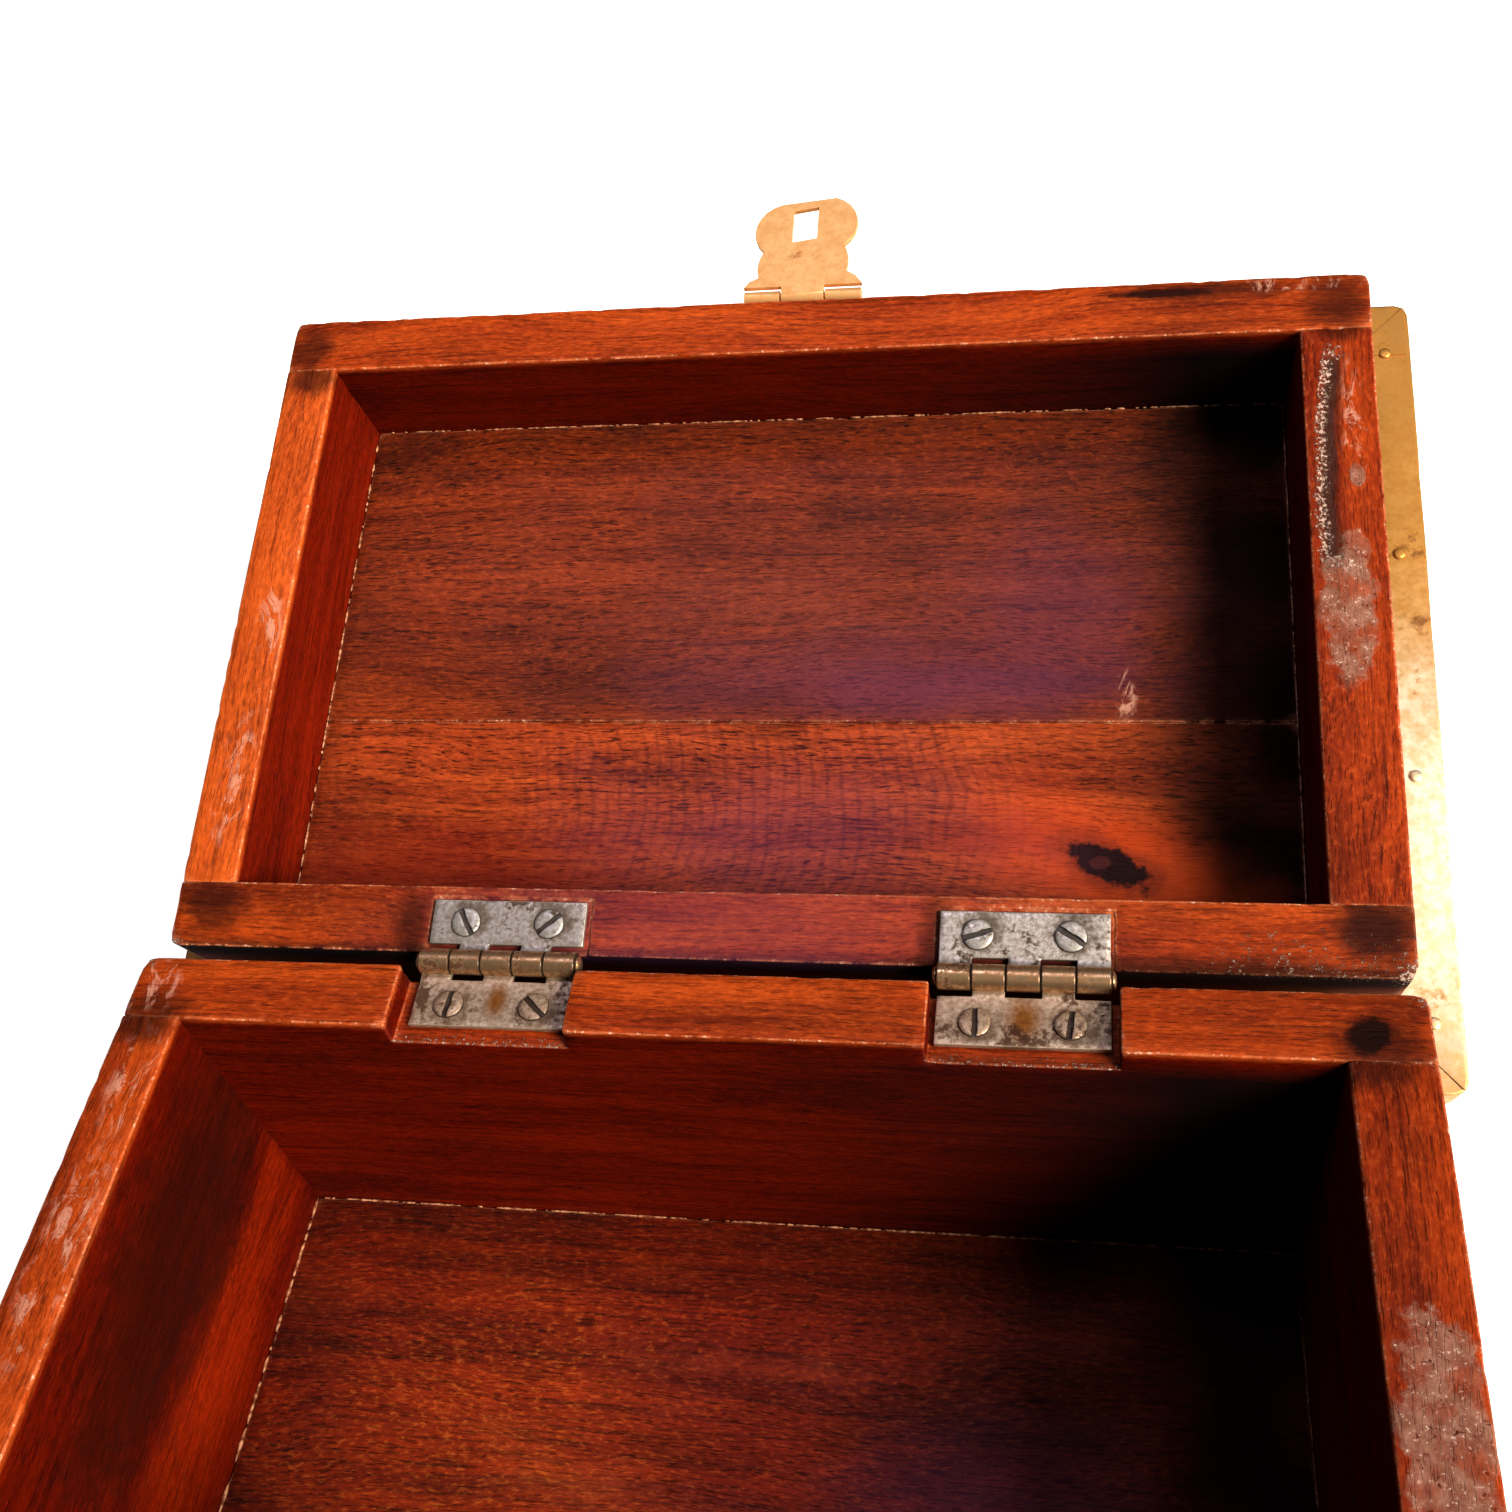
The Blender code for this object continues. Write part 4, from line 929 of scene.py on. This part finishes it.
def hinges():
    bronze = metal("caddy_knuckle_bronze", rgb(228, 192, 148), rgb(184, 140, 98), rgb(84, 50, 28), 0.45,
                   0.34, seed=3.0, shine=0.85)
    rust = [((41.7, 57.0, 70), (2.4, 3.6, 9)), ((-38.6, 57.5, 70), (1.6, 2.6, 9))]
    leaves = {
        "lid": metal("caddy_leaf_steel", rgb(216, 206, 192), rgb(168, 154, 138), rgb(80, 56, 40), 0.5, 0.48,
                     rings=screw_rings("lid"), size=240.0, shine=0.8),
        "base": metal("caddy_leaf_tan", rgb(214, 192, 166), rgb(174, 148, 122), rgb(84, 52, 32), 0.56, 0.5,
                      seed=1.0, rings=screw_rings("base"), size=200.0, shine=0.7, tarnish=rust),
    }
    screws = {
        "lid": metal("caddy_screw_bright", rgb(206, 200, 190), rgb(164, 152, 138), rgb(84, 60, 44), 0.35,
                     0.45, seed=2.0, shine=0.6, top=screw_top("lid")),
        "base": metal("caddy_screw_brown", rgb(204, 178, 150), rgb(160, 132, 106), rgb(78, 48, 30), 0.45,
                      0.48, seed=5.0, shine=0.6, top=screw_top("base")),
    }
    for k, side in enumerate(("left", "right")):
        for of, seed in (("lid", 20.0), ("base", 22.0)):
            leaf(side, of, leaves[of], bronze, seed + k)
        for i, end in enumerate("ab"):
            for of, seed in (("lid", 30), ("base", 40)):
                screw_head(side, of, end, screws[of], seed + 2 * k + i)
        kept_node(f"hinge_{side}_pin", bronze)


def brass_cover():
    """The sheet over the lid: an embossed roof, sides, and a beaten flange folded in to the boards."""
    low, high = shut_box("lid_brass_cover", LID)
    boards = np.array([shut_box(f"lid_{side}_board", LID) for side in ("front", "back", "left", "right")])
    mouth_low, mouth_high = boards[:, 0].min(0) - 0.25 * MM, boards[:, 1].max(0) + 0.25 * MM
    cavity = (low + SHEET, high - SHEET)
    mouth = ((mouth_low[0], mouth_low[1], low[2] - MM), (mouth_high[0], mouth_high[1], low[2] + SHEET * 1.5))
    points, quads, edge = block(low, high, [cavity, mouth], 1.5 * MM, 0.3 * MM)
    flat = points[:, :2]
    outer = ((flat < mouth_low[:2] - 0.1 * MM) | (flat > mouth_high[:2] + 0.1 * MM)).any(1)
    points = np.where(outer[:, None], corner_rounded(points, low, high, 2.5 * MM), points)
    points = eased(points, quads, edge, 3)
    inset = np.minimum(points[:, :2] - low[:2], high[:2] - points[:, :2]).min(1) / MM
    dents = 0.14 * fuzz(points, 16 * MM, 50) + 0.03 * fuzz(points, 5 * MM, 51)
    dents -= 0.2 * np.clip(fuzz(points, 6 * MM, 52) - 0.5, 0, 1)
    roof = (points[:, 2] > high[2] - 1.2 * SHEET) * np.clip((inset - 1) / 2, 0, 1)
    beads = sum(0.45 * np.exp(-(((inset - at) / 1.0) ** 2)) for at in (7.0, 11.0))
    centre = (low + high) / 2
    across = (points[:, :2] - centre[:2]) / MM
    waves = np.cos(across[:, 0] * 0.55) * np.cos(across[:, 1] * 0.55)
    scales = 0.25 * (1 + waves) * np.clip((inset - 14) / 3, 0, 1)
    rise = beads + scales + np.clip(dents, -0.12, 0.2)
    sides = normals_of(points, quads) * (0.6 * dents * (1 - roof) * MM)[:, None]
    points = points + sides + np.outer(roof * rise * MM, (0, 0, 1))
    soft = np.maximum(edge, averaged(edge, quads))
    # A painted highlight where light glares off the right of the flange
    glare = [((104, 34, low[2] / MM), (16, 32, 12))]
    look = metal("caddy_brass", rgb(214, 162, 88), rgb(202, 148, 74), rgb(132, 84, 40), 0.22, 0.48, 0.1, 7.0,
                 size=90.0, shine=0.75, glare=glare)
    mesh_piece("caddy_brass_cover", points, quads, look, "lid", ["lid_brass_cover"],
               {"edge": soft})
    for k, signs in enumerate(((-1, -1), (1, -1), (1, 1), (-1, 1))):
        outward = np.array((*signs, -1)) > 0
        corner, inner = np.where(outward, high, low), np.where(outward, mouth_high, mouth_low)
        fold_tab(f"caddy_brass_fold_{k + 1}", corner, inner, look, 60 + k)
    return look


def fold_tab(name, corner, inner, look, seed):
    """The corner of the sheet, folded flat over its neighbour along a mitre."""
    steps, reach = 10, 0.93 * (corner - inner)
    top, bottom = [], []
    for i in range(steps + 1):
        u = i / steps
        for j in range(steps + 1):
            v = j / steps * u
            x, y = inner[0] + reach[0] * u, inner[1] + reach[1] * v
            lift = 0.28 * MM + 0.08 * MM * math.sin(9 * u + seed) * v
            top.append((x, y, corner[2] - lift))
            bottom.append((x, y, corner[2] + 0.05 * MM))
    grid = np.arange(len(top)).reshape(steps + 1, steps + 1)
    quads = np.stack((grid[:-1, :-1], grid[1:, :-1], grid[1:, 1:], grid[:-1, 1:]), -1).reshape(-1, 4)
    faces = [*quads, *(quads[:, ::-1] + len(top))]
    for border in (grid[:, 0], grid[-1], grid[::-1, -1]):
        faces += [(a, b, b + len(top), a + len(top)) for a, b in zip(border, border[1:])]
    mesh = bmesh.new()
    verts = [mesh.verts.new(p) for p in top + bottom]
    for face in faces:
        mesh.faces.new([verts[n] for n in face])
    bmesh.ops.remove_doubles(mesh, verts=mesh.verts, dist=1e-7)
    bmesh.ops.recalc_face_normals(mesh, faces=mesh.faces)
    mesh.verts.index_update()
    points, faces = [v.co.copy() for v in mesh.verts], [tuple(v.index for v in f.verts) for f in mesh.faces]
    mesh.free()
    tab = mesh_piece(name, points, faces, look, "lid")
    tab.data.set_sharp_from_angle(angle=math.radians(40))


def nails(look):
    """Low domed heads on the flange under the lid and on the hasp's plate."""
    radius, shank = NAIL_RADIUS, 0.35 * MM
    profile = [(0, -2 * MM), (shank, -2 * MM), (shank, 0), (radius, 0), (radius, 0.12 * MM),
               (0.92 * radius, 0.26 * MM), (0.65 * radius, 0.35 * MM), (0.3 * radius, 0.38 * MM),
               (0, 0.39 * MM)]
    names = [f"cover_nail_{i:02d}" for i in range(1, 17)]
    for k, node in enumerate([*names, "hasp_nail_left", "hasp_nail_right"]):
        low, high = shut_box(node, LID)
        axis = 1 if node.startswith("hasp") else 2  # the nail points out along this axis, downwards
        at, way = (low + high) / 2, np.zeros(3)
        at[axis], way[axis] = low[axis] + 0.55 * MM, -1
        points, faces = turned(profile, 22, 0.06 * MM, 70 + k)
        points = facing(points, at, way)
        head = mesh_piece(f"caddy_{node}", points, faces, look, "lid", [node])
        head.data.set_sharp_from_angle(angle=math.radians(50))


def ease_edges(thing, width, angle):
    ease = thing.modifiers.new("ease", "BEVEL")
    ease.width, ease.segments, ease.limit_method, ease.angle_limit = width, 2, "ANGLE", angle


def kept_node(name, look, bevel=None):
    """A CAD piece whose shape is right takes the aged metal, and its edges may be eased."""
    node = frame["nodes"][name]
    node.data.materials.clear()
    node.data.materials.append(look)
    node.modifiers.new("weld", "WELD").merge_threshold = 1e-6
    if bevel:
        ease_edges(node, bevel, 0.9)
        node.modifiers.new("even", "WEIGHTED_NORMAL")
    node.data.shade_smooth()


# Glue ---------------------------------------------------------------------------------------------


BEAD_SIDES = 7


def bead(start, way, side, size, rng):
    """Points and faces of one bead, along way from start, thinner at its ends."""
    steps = max(3, int(np.linalg.norm(way) / (0.5 * MM)))
    points, faces = [], []
    for i in range(steps + 1):
        u = i / steps
        thick = size * MM * (0.35 + 0.65 * math.sin(math.pi * u) ** 0.5) * rng.uniform(0.7, 1.2)
        for j in range(BEAD_SIDES):
            a = 2 * math.pi * j / BEAD_SIDES
            round_about = math.cos(a) * side + math.sin(a) * np.array((0, 0, 1))
            points.append(start + way * u + thick * round_about)
    for i in range(steps):
        near, far = i * BEAD_SIDES, (i + 1) * BEAD_SIDES
        for j in range(BEAD_SIDES):
            k = (j + 1) % BEAD_SIDES
            faces.append((near + j, near + k, far + k, far + j))
    faces.append(tuple(range(BEAD_SIDES))[::-1])
    faces.append(tuple(steps * BEAD_SIDES + j for j in range(BEAD_SIDES)))
    return points, faces


def beads(name, runs, look, body, seed):
    """Broken lines of dried glue along the inner corners. Each run is (start, end, size in mm)."""
    rng, points, faces = random.Random(seed), [], []
    for start, end, size in runs:
        start, end = np.array(start), np.array(end)
        length = np.linalg.norm(end - start)
        way = (end - start) / length
        side = np.cross(way, (0, 0, 1))
        done = rng.uniform(0, 3) * MM
        while done < length - 2 * MM:
            long = min(rng.choice((0.7, 1.5, 3.0, 7.0)) * rng.uniform(0.7, 1.5) * MM, length - done)
            more_points, more_faces = bead(start + way * done, way * long, side, size, rng)
            faces += [[n + len(points) for n in face] for face in more_faces]
            points += more_points
            done += long + rng.choice((0.3, 0.8, 2.2)) * rng.uniform(0.6, 1.5) * MM
    mesh_piece(name, points, faces, look, body)


def glue_lines():
    look = glue("caddy_glue")
    low, high = shut_box("base_floor_panel")
    z = high[2] + 0.1 * MM
    beads("caddy_glue_base", [
        ((low[0], low[1], z), (low[0], high[1], z), 0.32),
        ((low[0], high[1], z), (high[0], high[1], z), 0.22),
    ], look, "base", 5)
    low, high = shut_box("lid_panel_front", LID)
    back = shut_box("lid_panel_rear", LID)[1][1]
    z = low[2] - 0.1 * MM
    beads("caddy_glue_lid", [
        ((low[0], low[1], z), (high[0], low[1], z), 0.19), ((low[0], low[1], z), (low[0], back, z), 0.22),
        ((high[0], low[1], z), (high[0], back, z), 0.16),
    ], look, "lid", 6)


# Camera, light and floor --------------------------------------------------------------------------


def camera():
    data = bpy.data.cameras.new("camera")
    data.lens, data.sensor_width = LENS, SENSOR
    data.shift_x, data.shift_y = SHIFT
    data.clip_start, data.clip_end = 0.01, 20
    made = linked("camera", data)
    up = CAMERA_RIGHT.cross(CAMERA_FORWARD)
    turn = Matrix((CAMERA_RIGHT, up, -CAMERA_FORWARD)).transposed()
    made.matrix_world = Matrix.Translation(CAMERA_AT) @ turn.to_4x4()
    bpy.context.scene.camera = made


def sun(name, toward, spread, strength, color):
    """Even light from one side. toward points at it, and spread is its width in degrees."""
    data = bpy.data.lights.new(name, "SUN")
    data.angle, data.energy, data.color = math.radians(spread), strength, color
    made = linked(name, data)
    made.rotation_euler = Vector(toward).to_track_quat("Z", "Y").to_euler()


def lamp(name, at, look_at, size, power, color):
    data = bpy.data.lights.new(name, "AREA")
    data.shape, data.size, data.size_y = "RECTANGLE", *size
    data.energy, data.color = power, color
    made = linked(name, data)
    made.location = at
    made.rotation_euler = (Vector(look_at) - Vector(at)).to_track_quat("-Z", "Y").to_euler()


WORLD_LIGHT = 0.035  # what the white backdrop adds to the light
FLOOR_REACH, FLOOR_DROP = 20.0, 0.3 * MM  # the floor lies just clear of the bottom board


def surroundings():
    bm = bmesh.new()
    bmesh.ops.create_grid(bm, x_segments=24, y_segments=24, size=FLOOR_REACH)
    bmesh.ops.translate(bm, verts=bm.verts, vec=(0, 0, -FLOOR_DROP))
    mesh = bpy.data.meshes.new("floor")
    bm.to_mesh(mesh)
    bm.free()
    mesh.materials.append(paper_white("floor_white"))
    floor = linked("floor", mesh)
    world = bpy.data.worlds.new("world")
    world.use_nodes = True
    background = world.node_tree.nodes["Background"]
    background.inputs["Color"].default_value = (1.0, 0.99, 0.98, 1.0)
    seen = world.node_tree.nodes.new("ShaderNodeLightPath")
    strength = world.node_tree.nodes.new("ShaderNodeMath")
    strength.operation = "MULTIPLY_ADD"
    strength.inputs[1].default_value, strength.inputs[2].default_value = 1.0, WORLD_LIGHT
    world.node_tree.links.new(seen.outputs["Is Camera Ray"], strength.inputs[0])
    world.node_tree.links.new(strength.outputs[0], background.inputs["Strength"])
    bpy.context.scene.world = world
    sun("key", (0.67, -0.44, 0.60), 26.0, 5.5, (1.0, 0.97, 0.93))
    lamp("sheen", (-0.17, 0.27, 1.1), (0, 0.08, 0.06), (0.3, 0.2), 2.2, (0.8, 0.74, 1.0))
    lamp("glow", (0.36, 0.16, 1.1), (0.1, 0.08, 0.08), (0.22, 0.3), 1.3, (1.0, 0.97, 0.92))
    view = bpy.context.scene.view_settings
    view.view_transform, view.gamma, view.exposure = "Standard", 0.82, 0.0


def main():
    base_boards()
    lid_boards()
    hinges()
    brass = brass_cover()
    nails(brass)
    tan = metal("caddy_hasp_brass", rgb(236, 188, 128), rgb(226, 172, 110), rgb(168, 104, 56), 0.2, 0.5,
                seed=11.0, size=90.0, shine=0.45)
    for name in ("hasp_leaf", "hasp_plate", "hasp_pin", "staple_plate", "staple_loop"):
        kept_node(name, tan, 0.16 * MM)
    steel = metal("caddy_bottom_screw", rgb(150, 140, 128), rgb(104, 92, 80), rgb(46, 30, 22), 0.5, 0.42)
    for name in frame["nodes"]:
        if name.startswith("bottom_screw"):
            kept_node(name, steel, 0.08 * MM)
    glue_lines()
    surroundings()
    camera()


main()
